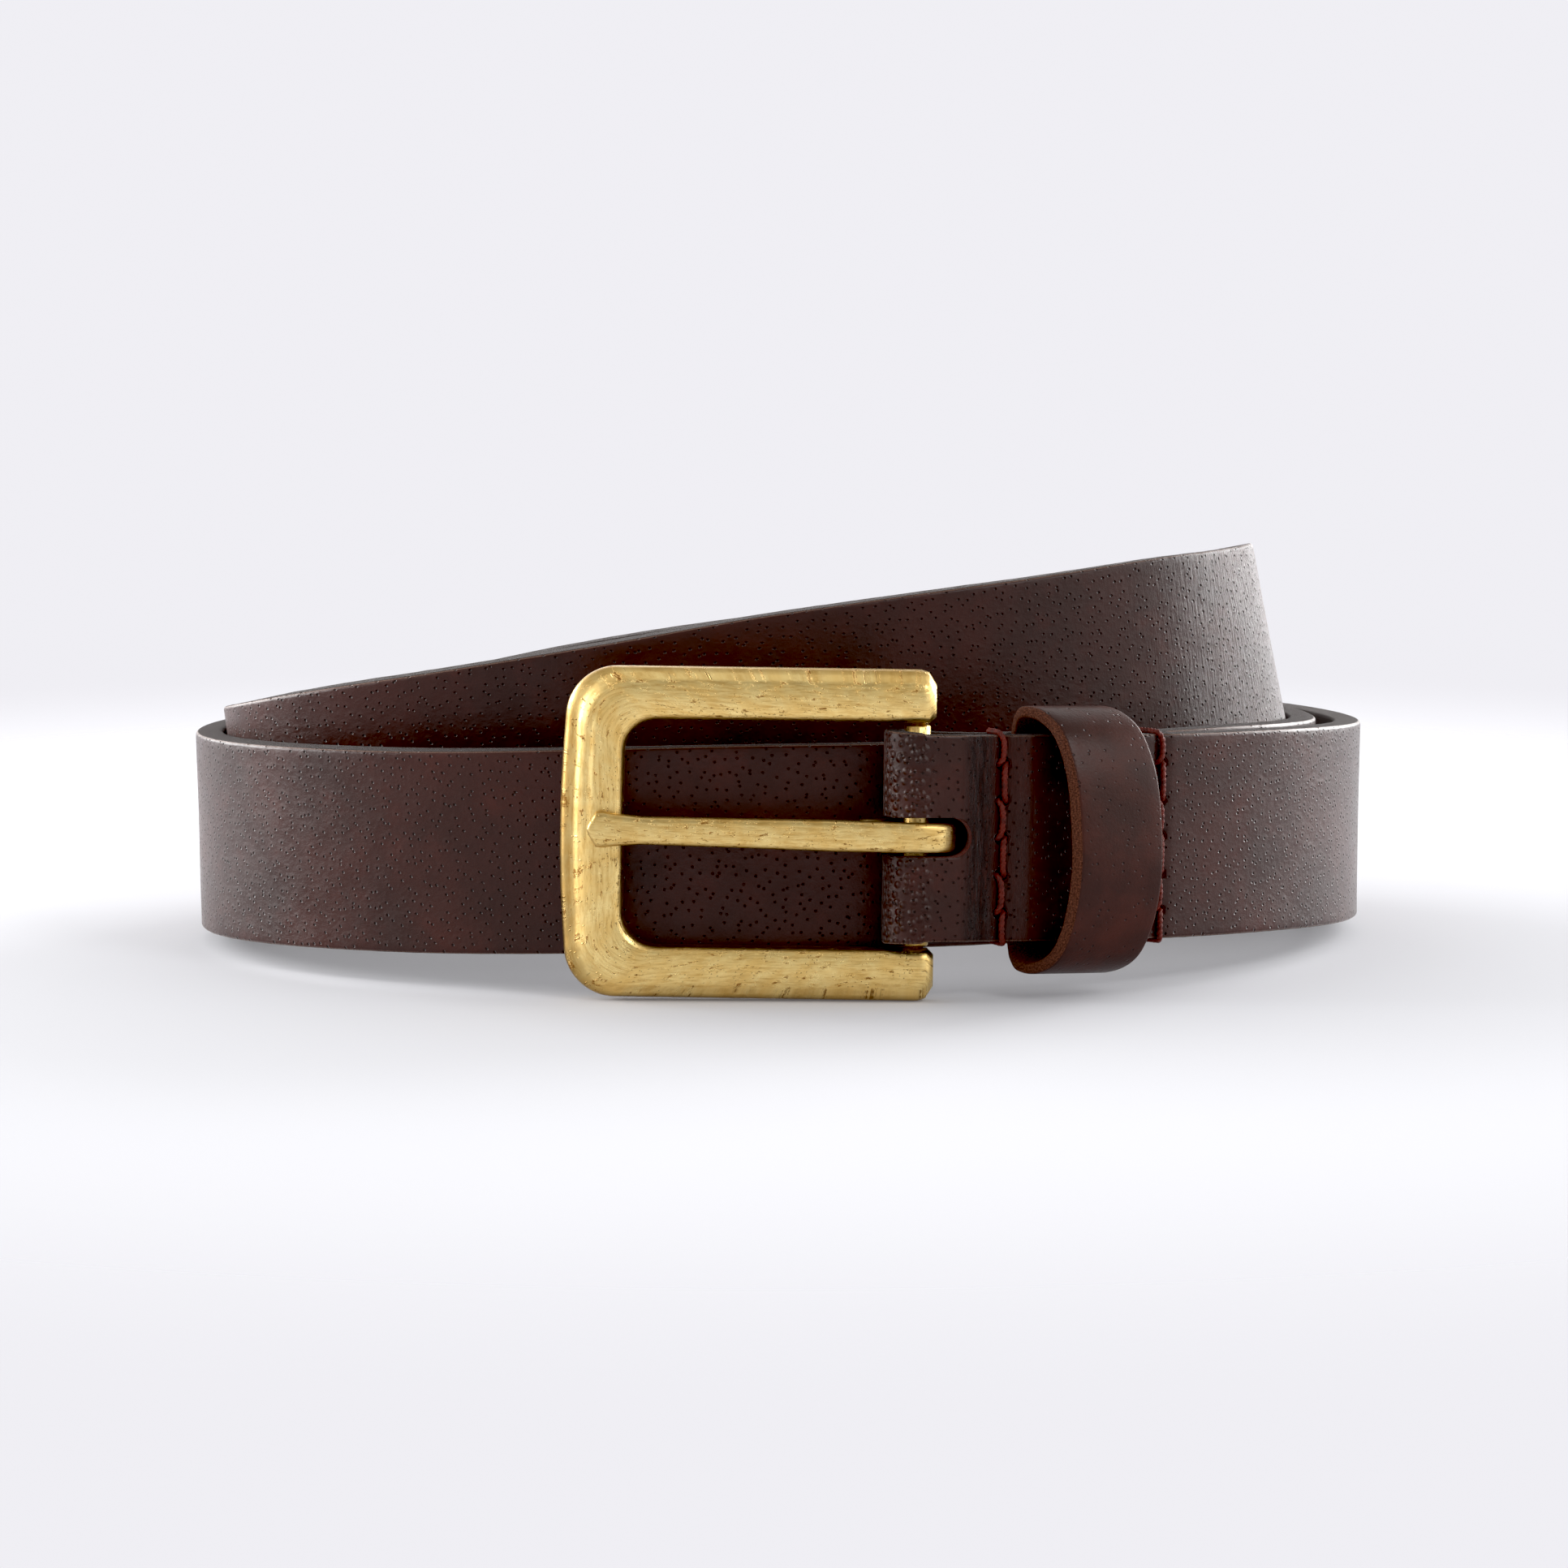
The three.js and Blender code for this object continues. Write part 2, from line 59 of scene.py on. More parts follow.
COIL_MIDDLE_Y = 2.8
HALF_WIDTHS = [(90, 86.5), (270, 86.5), (450, 79.5), (630, 79.5), (810, 76), (990, 73)]
HALF_DEPTHS = [(0, 68), (180, 64.5), (360, 57.5), (540, 59), (720, 41.5), (900, 42)]
RISES = [
    (0, 9.3), (45, 6.5), (90, 2.2), (135, 0.45), (165, 0), (195, 0), (225, 0.45), (270, 2.1),
    (315, 4.7), (360, 6.6), (405, 6.1), (450, 2.8), (540, 0.6), (630, 6), (675, 14.3),
    (700, 19.8), (720, 24.4), (745, 28.1), (775, 30.4), (800, 30), (820, 27.7), (850, 22.8),
    (900, 13.5), (990, 1.2),
]
LEANS = [
    (0, -3.5), (45, -2.8), (90, 0.5), (135, 0), (225, 0), (270, 1), (315, 1.9), (360, -4.8),
    (405, -2.5), (450, 1), (540, 0.6), (630, 6), (720, -0.7), (810, -11.8), (900, 2), (990, 6),
]
HEEL_TURN = 9.5
ROW_TURNS = (17.2, 34.9)
KEEPER_TURN = 23.6
TURNBACK_END_TURN = 38.5
TIP_TURN = 958.0
SKIVE = [(HEEL_TURN, SKIVED_THICKNESS), (45, STRAP_THICKNESS)]
TURNBACK_DEPTHS = [
    (HEEL_TURN, 5), (16.4, 2.6), (17.9, 2.6), (19.1, 4.2), (32.2, 4.2), (34.1, 2.7), (38.5, 2.6),
]

FOLD_RADIUS = 4.85
HEEL_DEPTH = FOLD_RADIUS - GRAIN
SLOT_HEIGHT = 5.8
SLOT_REACH = 7.3

FRAME_HALF_HEIGHT = 24.05
WINDOW_HALF_HEIGHT = 16.4
FRAME_LEFT = -51.0
WINDOW_LEFT = -42.4
ARM_END = 2.7
FRAME_BACK = -2.0
FRAME_FRONT = 3.2
FRAME_OUTER_RADIUS = 7.5
FRAME_INNER_RADIUS = 5.0
ARM_END_RADIUS = 2.2
FRAME_BOW = 0.7
BUCKLE_LIFT = 0.15
BUCKLE_SWING = -14.0

BAR_RADIUS = 1.9
RUNNING_GAP = 0.3

PRONG_TIP = -47.5
PRONG_THICKNESS = 2.5
PRONG_MIDDLE_DEPTH = 4.8
PRONG_TILT = -0.8

KEEPER_WIDTH = 12.7
KEEPER_THICKNESS = 1.7
KEEPER_SKEW = 0.45

HOLE_COUNT = 5
HOLE_SPACING = 5.4
THREAD_RADIUS = 0.4
THREAD_PAIR_OFFSET = 0.55

PUNCH_COUNT = 5
PUNCH_RADIUS = 2.4
PUNCH_FIRST_TURN = 838.0
PUNCH_STEP_IN_TURN = 23.0


# ---------------------------------------------------------------- the strap's route

def value_at(stations, turn):
    """A smooth line through (turn, value) stations, level at each highest and lowest one."""
    last = len(stations) - 1
    if turn <= stations[0][0]:
        return stations[0][1]
    if turn >= stations[last][0]:
        return stations[last][1]

    def slope(k):
        if k in (0, last):
            return 0.0
        rise = stations[k + 1][1] - stations[k][1]
        rise_before = stations[k][1] - stations[k - 1][1]
        if rise * rise_before <= 0:
            return 0.0
        return (rise + rise_before) / (stations[k + 1][0] - stations[k - 1][0])

    index = next(k for k, station in enumerate(stations) if station[0] > turn) - 1
    (start, low), (end, high) = stations[index], stations[index + 1]
    span = end - start
    u = (turn - start) / span
    leaving = slope(index) * span * u * (1 - u) ** 2
    arriving = slope(index + 1) * span * u ** 2 * (1 - u)
    return low + (high - low) * u * u * (3 - 2 * u) + leaving - arriving


def foot_at(turn):
    angle = math.radians(turn)
    return np.array([
        value_at(HALF_WIDTHS, turn) * math.sin(angle),
        COIL_MIDDLE_Y - value_at(HALF_DEPTHS, turn) * math.cos(angle),
        value_at(RISES, turn),
    ])


def unit(vector):
    return vector / np.linalg.norm(vector)


def frame_at(turn):
    """The strap's foot at a turn, and its directions along, up across its width, and out."""
    along = unit(foot_at(turn + 0.5) - foot_at(turn - 0.5))
    level = unit(np.array([along[1], -along[0], 0.0]))
    upright = np.cross(level, along)
    lean = math.radians(value_at(LEANS, turn))
    up = upright * math.cos(lean) + level * math.sin(lean)
    out = level * math.cos(lean) - upright * math.sin(lean)
    return foot_at(turn), along, up, out


def place(turn, outwards, upwards, sideways=0.0):
    foot, along, up, out = frame_at(turn)
    return foot + out * outwards + up * upwards + along * sideways


def length_per_turn(turn):
    return np.linalg.norm(foot_at(turn + 0.5) - foot_at(turn - 0.5))


def hole_height(index):
    return STRAP_WIDTH / 2 + (index - (HOLE_COUNT - 1) / 2) * HOLE_SPACING


def catmull(points, count, closed=False):
    """Points along a centripetal Catmull-Rom curve through points, as three.js draws it."""
    points = np.array(points, float)
    total = len(points)
    found = []
    for i in range(count if closed else count + 1):
        at = i / count * (total if closed else total - 1)
        index = int(math.floor(at))
        weight = at - index
        if not closed and index == total - 1:
            index, weight = total - 2, 1.0
        if closed:
            p0, p1, p2, p3 = (points[(index + k) % total] for k in (-1, 0, 1, 2))
        else:
            p1, p2 = points[index], points[index + 1]
            p0 = points[index - 1] if index > 0 else 2 * p1 - p2
            p3 = points[index + 2] if index + 2 < total else 2 * p2 - p1
        d0, d1, d2 = (max(np.linalg.norm(b - a) ** 0.5, 1e-4) for a, b in ((p0, p1), (p1, p2), (p2, p3)))
        t1 = ((p1 - p0) / d0 - (p2 - p0) / (d0 + d1) + (p2 - p1) / d1) * d1
        t2 = ((p2 - p1) / d1 - (p3 - p1) / (d1 + d2) + (p3 - p2) / d2) * d1
        a = 2 * p1 - 2 * p2 + t1 + t2
        b = -3 * p1 + 3 * p2 - 2 * t1 - t2
        found.append(p1 + weight * (t1 + weight * (b + weight * a)))
    return np.array(found)


# ---------------------------------------------------------------- mesh helpers

def mesh_from(name, rings, uvs, material, closed=False):
    """A tube of rings of points in millimetres. uvs is a dict of names to one (u, v) per point.

    A ring's points run so that the faces look outwards; closed joins the last ring to the first.
    """
    rings = np.asarray(rings, float)
    count, size = rings.shape[:2]
    index = np.arange(count * size).reshape(count, size)
    faces = []
    for i in range(count if closed else count - 1):
        here, following = index[i], index[(i + 1) % count]
        for j in range(size):
            k = (j + 1) % size
            faces.append((here[j], here[k], following[k], following[j]))
    if not closed:
        faces.append(tuple(index[0][::-1]))
        faces.append(tuple(index[-1]))
    mesh = bpy.data.meshes.new(name)
    mesh.from_pydata((rings.reshape(-1, 3) * MM).tolist(), [], [tuple(map(int, f)) for f in faces])
    loops = np.empty(len(mesh.loops), np.int32)
    mesh.loops.foreach_get("vertex_index", loops)
    for layer, values in uvs.items():
        flat = np.asarray(values, float).reshape(-1, 2)
        mesh.uv_layers.new(name=layer).data.foreach_set("uv", flat[loops].ravel())
    mesh.polygons.foreach_set("use_smooth", [True] * len(mesh.polygons))
    mesh.materials.append(material)
    mesh.update()
    obj = bpy.data.objects.new(name, mesh)
    bpy.context.scene.collection.objects.link(obj)
    return obj


def rounded_outline(corners, segments=4, step=None):
    """A closed outline through (x, y, radius) corners, each rounded by an arc."""
    corners = [np.array(c, float) for c in corners]
    total = len(corners)
    points = []
    for i in range(total):
        before, here, after = corners[i - 1][:2], corners[i][:2], corners[(i + 1) % total][:2]
        radius = corners[i][2]
        back, ahead = unit(before - here), unit(after - here)
        half = math.acos(np.clip(back @ ahead, -1, 1)) / 2
        reach = radius / math.tan(half)
        centre = here + unit(back + ahead) * (radius / math.sin(half))
        start, end = here + back * reach - centre, here + ahead * reach - centre
        sweep = math.atan2(start[0] * end[1] - start[1] * end[0], start @ end)
        for k in range(segments + 1):
            a = sweep * k / segments
            turned = (start[0] * math.cos(a) - start[1] * math.sin(a),
                      start[0] * math.sin(a) + start[1] * math.cos(a))
            points.append(centre + turned)
    if step is None:
        return np.array(points)
    filled = []
    for i, point in enumerate(points):
        following = points[(i + 1) % len(points)]
        pieces = max(1, int(np.linalg.norm(following - point) / step))
        filled += [point + (following - point) * k / pieces for k in range(pieces)]
    return np.array(filled)


def wobble(x, y, z=0.0):
    """Smooth noise from -1 to 1, the same on every run."""
    return noise.noise(Vector((x, y, z)))


def cut(obj, cutters):
    """Takes cutters out of obj, for good, and removes them."""
    for cutter in cutters:
        modifier = obj.modifiers.new("cut", "BOOLEAN")
        modifier.operation = "DIFFERENCE"
        modifier.solver = "EXACT"
        modifier.object = cutter
    depsgraph = bpy.context.evaluated_depsgraph_get()
    result = bpy.data.meshes.new_from_object(obj.evaluated_get(depsgraph))
    obj.modifiers.clear()
    obj.data = result
    for cutter in cutters:
        bpy.data.objects.remove(cutter)
    return obj


def piece(obj, body, replaced):
    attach(obj, body)
    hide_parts(replaced)
    return obj


# ---------------------------------------------------------------- materials

class Shader:
    """A small builder for one material's nodes."""

    def __init__(self, name):
        self.material = bpy.data.materials.new(name)
        self.material.use_nodes = True
        self.tree = self.material.node_tree
        self.surface = self.tree.nodes["Principled BSDF"]

    def node(self, kind, inputs=None, **settings):
        made = self.tree.nodes.new(kind)
        for key, value in settings.items():
            setattr(made, key, value)
        for key, value in (inputs or {}).items():
            self.set(made.inputs[key], value)
        return made

    def set(self, socket, value):
        if isinstance(value, bpy.types.NodeSocket):
            self.tree.links.new(value, socket)
        elif isinstance(value, bpy.types.Node):
            self.tree.links.new(value.outputs[0], socket)
        else:
            socket.default_value = value

    def uv(self, layer):
        """A UV map's coordinates, which are metres, in millimetres."""
        source = self.node("ShaderNodeUVMap", uv_map=layer)
        return self.node("ShaderNodeMapping", {"Vector": source, "Scale": (1 / MM, 1 / MM, 1.0)})

    def stretched(self, vector, along, across):
        return self.node("ShaderNodeMapping", {"Vector": vector, "Scale": (along, across, 1.0)})

    def shares(self, layer):
        """The two shares, from 0 to 1, that a UV map holds."""
        source = self.node("ShaderNodeUVMap", uv_map=layer)
        parts = self.node("ShaderNodeSeparateXYZ", {"Vector": source})
        return parts.outputs["X"], parts.outputs["Y"]

    def noise(self, vector, scale, detail=3.0, roughness=0.55):
        made = self.node("ShaderNodeTexNoise", {
            "Vector": vector, "Scale": scale, "Detail": detail, "Roughness": roughness})
        return made.outputs["Fac"]

    def cells(self, vector, scale, randomness=1.0):
        made = self.node("ShaderNodeTexVoronoi", {
            "Vector": vector, "Scale": scale, "Randomness": randomness}, voronoi_dimensions="2D")
        return made.outputs["Distance"]

    def math(self, operation, a, b):
        made = self.node("ShaderNodeMath", operation=operation)
        self.set(made.inputs[0], a)
        self.set(made.inputs[1], b)
        return made.outputs[0]

    def fade(self, value, low, high, to_low=0.0, to_high=1.0):
        made = self.node("ShaderNodeMapRange", {
            "Value": value, "From Min": low, "From Max": high, "To Min": to_low,
            "To Max": to_high}, interpolation_type="SMOOTHSTEP")
        return made.outputs["Result"]

    def mix(self, share, a, b):
        made = self.node("ShaderNodeMix", data_type="RGBA")
        self.set(made.inputs[0], share)
        self.set(made.inputs[6], a)
        self.set(made.inputs[7], b)
        return made.outputs[2]

    def blend(self, share, a, b):
        made = self.node("ShaderNodeMix", data_type="FLOAT")
        self.set(made.inputs[0], share)
        self.set(made.inputs[2], a)
        self.set(made.inputs[3], b)
        return made.outputs[0]

    def bump(self, height, distance, strength):
        inputs = {"Height": height, "Distance": distance * MM, "Strength": strength}
        return self.node("ShaderNodeBump", inputs).outputs[0]

    def surface_is(self, **sockets):
        names = {"colour": "Base Color", "roughness": "Roughness", "metallic": "Metallic",
                 "normal": "Normal", "specular": "Specular IOR Level", "sheen": "Sheen Weight",
                 "sheen_roughness": "Sheen Roughness"}
        for key, value in sockets.items():
            self.set(self.surface.inputs[names[key]], value)
        return self.material


def rgb(red, green, blue):
    """An 8-bit sRGB colour as the linear colour a shader takes."""
    def linear(value):
        share = value / 255
        return share / 12.92 if share <= 0.04045 else ((share + 0.055) / 1.055) ** 2.4
    return (linear(red), linear(green), linear(blue), 1.0)


def strap_leather():
    """Full-grain leather: grain face with pores, raw fibrous edges, suede-like flesh side."""
    s = Shader("strap_leather")
    skin = s.uv("strap")
    edge, inside = s.shares("side")
    creased, bumpy = s.shares("zone")

    clouds = s.noise(skin, 0.05, 4.0, 0.6)
    blotches = s.noise(skin, 0.16, 4.0, 0.65)
    colour = s.mix(s.fade(clouds, 0.35, 0.7), rgb(42, 18, 11), rgb(57, 24, 16))
    colour = s.mix(s.fade(blotches, 0.5, 0.75, 0.0, 0.3), colour, rgb(78, 30, 19))

    drift = s.node("ShaderNodeTexNoise", {"Vector": skin, "Scale": 0.04, "Detail": 2.0})
    shift = s.node("ShaderNodeVectorMath", {0: drift.outputs["Color"], 1: (4.0, 4.0, 0.0)},
                   operation="MULTIPLY")
    bent = s.node("ShaderNodeVectorMath", {0: skin, 1: shift}, operation="ADD")
    rows = s.node("ShaderNodeMapping", {"Vector": bent, "Rotation": (0, 0, 0.5), "Scale": (0.6, 0.68, 1.0)})
    cell = s.cells(rows, 1.0, 0.85)
    deep = s.fade(s.noise(skin, 0.25, 2.0), 0.3, 0.55, 0.6, 1.0)
    pit = s.math("MULTIPLY", s.fade(cell, 0.05, 0.16, 1.0, 0.0), deep)
    swell = s.math("MULTIPLY", s.fade(cell, 0.1, 0.55, 1.0, 0.0), deep)
    # Painted shade: the pores' pits are darkened towards near black.
    colour = s.mix(s.math("MULTIPLY", pit, 0.85), colour, rgb(8, 3, 2))
    lines = s.noise(s.stretched(skin, 2.4, 0.28), 1.0, 4.0, 0.7)
    # Painted shade: the crease furrows near the fold, by the first stitch row and up to the keeper's side
    # are darkened.
    painted_furrow_shade = s.math("MULTIPLY", creased, s.fade(lines, 0.46, 0.6, 1.0, 0.0))
    colour = s.mix(s.math("MULTIPLY", painted_furrow_shade, 0.8), colour, rgb(14, 6, 5))

    fibres = s.noise(s.stretched(skin, 1.0, 3.0), 3.0, 5.0, 0.7)
    raw = s.mix(s.fade(fibres, 0.35, 0.7), rgb(20, 10, 7), rgb(58, 34, 25))
    colour = s.mix(s.fade(edge, 0.35, 0.75), colour, raw)
    # Painted highlight: a light line along the grain's rim, where its rounded corner turns on to the edge.
    rim_highlight = s.math("MULTIPLY", s.fade(edge, 0.12, 0.3), s.fade(edge, 0.35, 0.6, 1.0, 0.0))
    colour = s.mix(s.math("MULTIPLY", rim_highlight, s.fade(fibres, 0.35, 0.6)), colour, rgb(112, 86, 72))
    colour = s.mix(s.math("MULTIPLY", inside, s.fade(fibres, 0.3, 0.6)), colour, rgb(122, 44, 28))

    grain = s.noise(skin, 1.5, 5.0, 0.7)
    lumps = s.fade(s.cells(skin, 0.75, 0.8), 0.1, 0.5, 1.0, 0.0)
    height = s.math("SUBTRACT", s.math("MULTIPLY", grain, 0.35), s.math("MULTIPLY", pit, 1.4))
    height = s.math("ADD", height, s.math("MULTIPLY", swell, 0.12))
    height = s.math("ADD", height, s.math("MULTIPLY", s.noise(skin, 0.45, 2.0), 0.2))
    height = s.math("ADD", height, s.math("MULTIPLY", s.math("MULTIPLY", lines, creased), 6.5))
    height = s.math("ADD", height, s.math("MULTIPLY", s.math("MULTIPLY", lumps, bumpy), 1.3))
    height = s.blend(s.fade(edge, 0.4, 0.7), height, s.math("MULTIPLY", fibres, 3.5))
    roughness = s.fade(s.noise(skin, 0.22, 3.0), 0.3, 0.7, 0.3, 0.42)
    roughness = s.math("ADD", roughness, s.math("MULTIPLY", pit, 0.4))
    roughness = s.blend(s.fade(edge, 0.35, 0.75), roughness, 0.85)
    return s.surface_is(colour=colour, roughness=roughness, normal=s.bump(height, 0.2, 0.9),
                        specular=0.4, sheen=0.2, sheen_roughness=0.3)


def keeper_leather():
    """Smoother, thinner leather with a brown fibrous rim."""
    s = Shader("keeper_leather")
    skin = s.uv("strap")
    edge, _ = s.shares("side")
    clouds = s.noise(skin, 0.12, 4.0, 0.6)
    colour = s.mix(s.fade(clouds, 0.35, 0.7), rgb(44, 20, 14), rgb(62, 28, 20))
    pore = s.math("MULTIPLY", s.fade(s.cells(skin, 0.6, 1.0), 0.05, 0.13, 1.0, 0.0),
                  s.fade(s.noise(skin, 0.3, 2.0), 0.42, 0.6))
    # Painted shade: the pores are darkened towards near black.
    colour = s.mix(s.math("MULTIPLY", pore, 0.8), colour, rgb(10, 4, 4))
    fibres = s.noise(skin, 3.5, 5.0, 0.7)
    raw = s.mix(s.fade(fibres, 0.35, 0.7), rgb(48, 24, 17), rgb(108, 66, 48))
    colour = s.mix(s.fade(edge, 0.35, 0.75), colour, raw)
    height = s.math("SUBTRACT", s.math("MULTIPLY", s.noise(skin, 2.2, 4.0, 0.6), 0.4), pore)
    height = s.blend(s.fade(edge, 0.4, 0.7), height, s.math("MULTIPLY", fibres, 2.5))
    roughness = s.blend(s.fade(edge, 0.35, 0.75), s.fade(clouds, 0.3, 0.7, 0.32, 0.42), 0.85)
    return s.surface_is(colour=colour, roughness=roughness, normal=s.bump(height, 0.13, 0.8),
                        specular=0.32)


def antique_brass(name):
    """Brass brushed along the piece, lighter and darker in patches, with dark, duller specks and pits, and
    painted shade that darkens it towards brown where its side share is high.
    """
    s = Shader(name)
    skin = s.uv("strap")
    painted_shade, _ = s.shares("side")
    brushed = s.noise(s.stretched(skin, 0.18, 1.5), 1.6, 5.0, 0.7)
    clouds = s.noise(skin, 0.25, 4.0, 0.65)
    specks = s.noise(s.stretched(skin, 0.45, 1.1), 1.1, 7.0, 0.78)
    speck = s.fade(specks, 0.56, 0.63)
    pits = s.fade(s.cells(skin, 1.3, 1.0), 0.05, 0.16, 1.0, 0.0)
    pits = s.math("MULTIPLY", pits, s.fade(s.noise(skin, 0.35, 2.0), 0.5, 0.62))
    colour = s.mix(s.fade(clouds, 0.35, 0.65), rgb(250, 222, 152), rgb(240, 204, 130))
    colour = s.mix(s.fade(brushed, 0.42, 0.68, 0.0, 0.6), colour, rgb(196, 152, 80))
    colour = s.mix(s.math("MULTIPLY", speck, 0.85), colour, rgb(132, 86, 40))
    colour = s.mix(s.math("MULTIPLY", pits, 0.75), colour, rgb(86, 56, 28))
    # Painted shade: the side share darkens the brass towards brown.
    colour = s.mix(s.math("MULTIPLY", painted_shade, 0.8), colour, rgb(118, 84, 36))
    roughness = s.math("ADD", s.fade(clouds, 0.3, 0.7, 0.26, 0.36), s.math("MULTIPLY", speck, 0.2))
    height = s.math("SUBTRACT", s.math("MULTIPLY", brushed, 0.8), s.math("MULTIPLY", speck, 0.6))
    height = s.math("SUBTRACT", height, pits)
    return s.surface_is(colour=colour, roughness=roughness, metallic=1.0,
                        normal=s.bump(height, 0.07, 0.9))


def waxed_thread():
    """Red-brown thread, darker in patches, with fine fibres along it."""
    s = Shader("waxed_thread")
    skin = s.uv("strap")
    fibres = s.noise(s.stretched(skin, 1.0, 4.0), 3.0, 4.0, 0.7)
    patches = s.noise(skin, 0.5, 2.0)
    colour = s.mix(s.fade(fibres, 0.3, 0.7), rgb(52, 14, 9), rgb(120, 38, 24))
    colour = s.mix(s.fade(patches, 0.45, 0.7, 0.0, 0.6), colour, rgb(38, 12, 9))
    return s.surface_is(colour=colour, roughness=0.6, normal=s.bump(fibres, 0.08, 0.8), specular=0.4)


# ---------------------------------------------------------------- strap

TURNBACK_STEPS = 60
FOLD_STEPS = 28
COIL_STEPS = 900
STRAP_STEPS = TURNBACK_STEPS + FOLD_STEPS + COIL_STEPS
COIL_CROWDING = 1.6
STRAP_CORNER = 0.55
CORNER_STEPS = 5
FOLD_FLARE = 0.55

RELIEF_END_TURN = 50
CHANNEL_DEPTH, CHANNEL_HALF_WIDTH = 0.42, 1.1
STITCH_DIP = 0.35
CREASE_FROM_ROW = 2.6

SLOT_WAIST_REACH = SLOT_REACH - 0.35
SLOT_WAIST_RADIUS = SLOT_HEIGHT / 2 - 0.12
SLOT_HEIGHTS = (-FOLD_RADIUS - RUNNING_GAP, 1.0, FOLD_RADIUS - 1.6, FOLD_RADIUS + 0.1, FOLD_RADIUS + 3)
STITCH_HOLE_HALF_LENGTH, STITCH_HOLE_HALF_HEIGHT = 1.2, 0.95
HOLE_DEPTHS = (-6.0, 4.0)


def strap_section():
    """Round the strap's section: (share across thickness, share up, how far round on to an edge)."""
    rows = []
    corner_x, corner_y = STRAP_CORNER / STRAP_THICKNESS, STRAP_CORNER / STRAP_WIDTH

    def corner(x, y, start):
        for k in range(CORNER_STEPS + 1):
            a = math.radians(start + 90 * k / CORNER_STEPS)
            rows.append((x + corner_x * math.cos(a), y + corner_y * math.sin(a)))

    corner(corner_x, corner_y, 180)
    rows.extend((x, 0.0) for x in np.linspace(corner_x, 1 - corner_x, 6)[1:-1])
    corner(1 - corner_x, corner_y, 270)
    rows.extend((1.0, y) for y in np.linspace(corner_y, 1 - corner_y, 8)[1:-1])
    corner(1 - corner_x, 1 - corner_y, 0)
    rows.extend((x, 1.0) for x in np.linspace(1 - corner_x, corner_x, 6)[1:-1])
    corner(corner_x, 1 - corner_y, 90)
    rows.extend((0.0, y) for y in np.linspace(1 - corner_y, corner_y, 34)[1:-1])
    return np.array(rows)


def grain_relief(turn, height, past_heel):
    """How far the grain face stands out, in millimetres: stitch channels, creases, slow waves."""
    relief = 0.10 * wobble(past_heel / 16, height / 14, 1.3)
    if turn > RELIEF_END_TURN:
        return relief
    for row in ROW_TURNS:
        away = (turn - row) * length_per_turn(row)
        relief -= CHANNEL_DEPTH * math.exp(-(away / CHANNEL_HALF_WIDTH) ** 2)
        for i in range(HOLE_COUNT):
            rise = height - hole_height(i)
            relief -= STITCH_DIP * math.exp(-(away / 0.9) ** 2 - (rise / 0.8) ** 2)
        edge = min(height, STRAP_WIDTH - height)
        relief -= STITCH_DIP * math.exp(-(away / 0.9) ** 2 - (edge / 0.9) ** 2)
    to_row = (ROW_TURNS[0] - turn) * length_per_turn(HEEL_TURN)
    creased = math.exp(-((to_row - CREASE_FROM_ROW) / 2.6) ** 2)
    lines = wobble(past_heel * 1.5, height / 9, 4.1) + 0.6 * wobble(past_heel * 3.1, height / 5, 7.7)
    relief += 0.2 * creased * lines
    relief -= 0.25 * math.exp(-((to_row - 3.2) / 1.8) ** 2)
    return relief


def strap_station(step):
    """(grain foot, flesh foot, up, way the grain faces, turn) at one step from the turnback's end."""
    if step < TURNBACK_STEPS:
        turn = TURNBACK_END_TURN + (HEEL_TURN - TURNBACK_END_TURN) * step / TURNBACK_STEPS
        foot, _, up, out = frame_at(turn)
        flesh = foot - out * value_at(TURNBACK_DEPTHS, turn)
        return flesh - out * TURNBACK_THICKNESS, flesh, up, -out, None
    if step <= TURNBACK_STEPS + FOLD_STEPS:
        angle = math.pi * (1 - (step - TURNBACK_STEPS) / FOLD_STEPS)
        foot, along, up, out = frame_at(HEEL_TURN)
        away = out * math.cos(angle) - along * math.sin(angle)
        axis = foot - out * HEEL_DEPTH
        return (axis + away * FOLD_RADIUS, axis + away * (FOLD_RADIUS - SKIVED_THICKNESS), up, away,
                HEEL_TURN if angle == 0 else None)
    share = (step - TURNBACK_STEPS - FOLD_STEPS) / COIL_STEPS
    turn = HEEL_TURN + (TIP_TURN - HEEL_TURN) * share ** COIL_CROWDING
    foot, _, up, out = frame_at(turn)
    return foot + out * GRAIN, foot + out * (GRAIN - value_at(SKIVE, turn)), up, out, turn


def width_share(turn):
    """How much of its width the strap keeps: all of it, but for the rounded tip."""
    if turn is None:
        return 1.0
    into = min(max(1 - (TIP_TURN - turn) / TIP_LENGTH_IN_TURN, 0.0), 1.0)
    return TIP_END_SHARE + (1 - TIP_END_SHARE) * math.sqrt(1 - into * into)


def fold_bulge(step):
    """1 at the fold's outermost line, falling to 0 where the layers lie flat again."""
    away = abs(step - TURNBACK_STEPS - FOLD_STEPS / 2) / (FOLD_STEPS / 2)
    return max(0.0, 1 - away / 1.3) ** 0.7


def zones_at(step, turn):
    """How creased and how bumpy the grain is, the crease share also placing painted shade in the furrows:
    both only near the fold and the first stitch row.
    """
    if turn is None:
        return (0.0, 1.0 if step > TURNBACK_STEPS + FOLD_STEPS / 2 else 0.3)
    past_row = (turn - ROW_TURNS[0]) * length_per_turn(ROW_TURNS[0])
    before_row = math.exp(-((past_row + 3.4) / 2.0) ** 4)
    behind_row = 0.3 * math.exp(-((past_row - 2.4) / 1.7) ** 4)
    upper_end = 0.3 * math.exp(-((turn - 785) / 16) ** 2)
    bumpy = max(0.0, 1 - (turn - HEEL_TURN))
    return (max(before_row, behind_row, upper_end), bumpy)


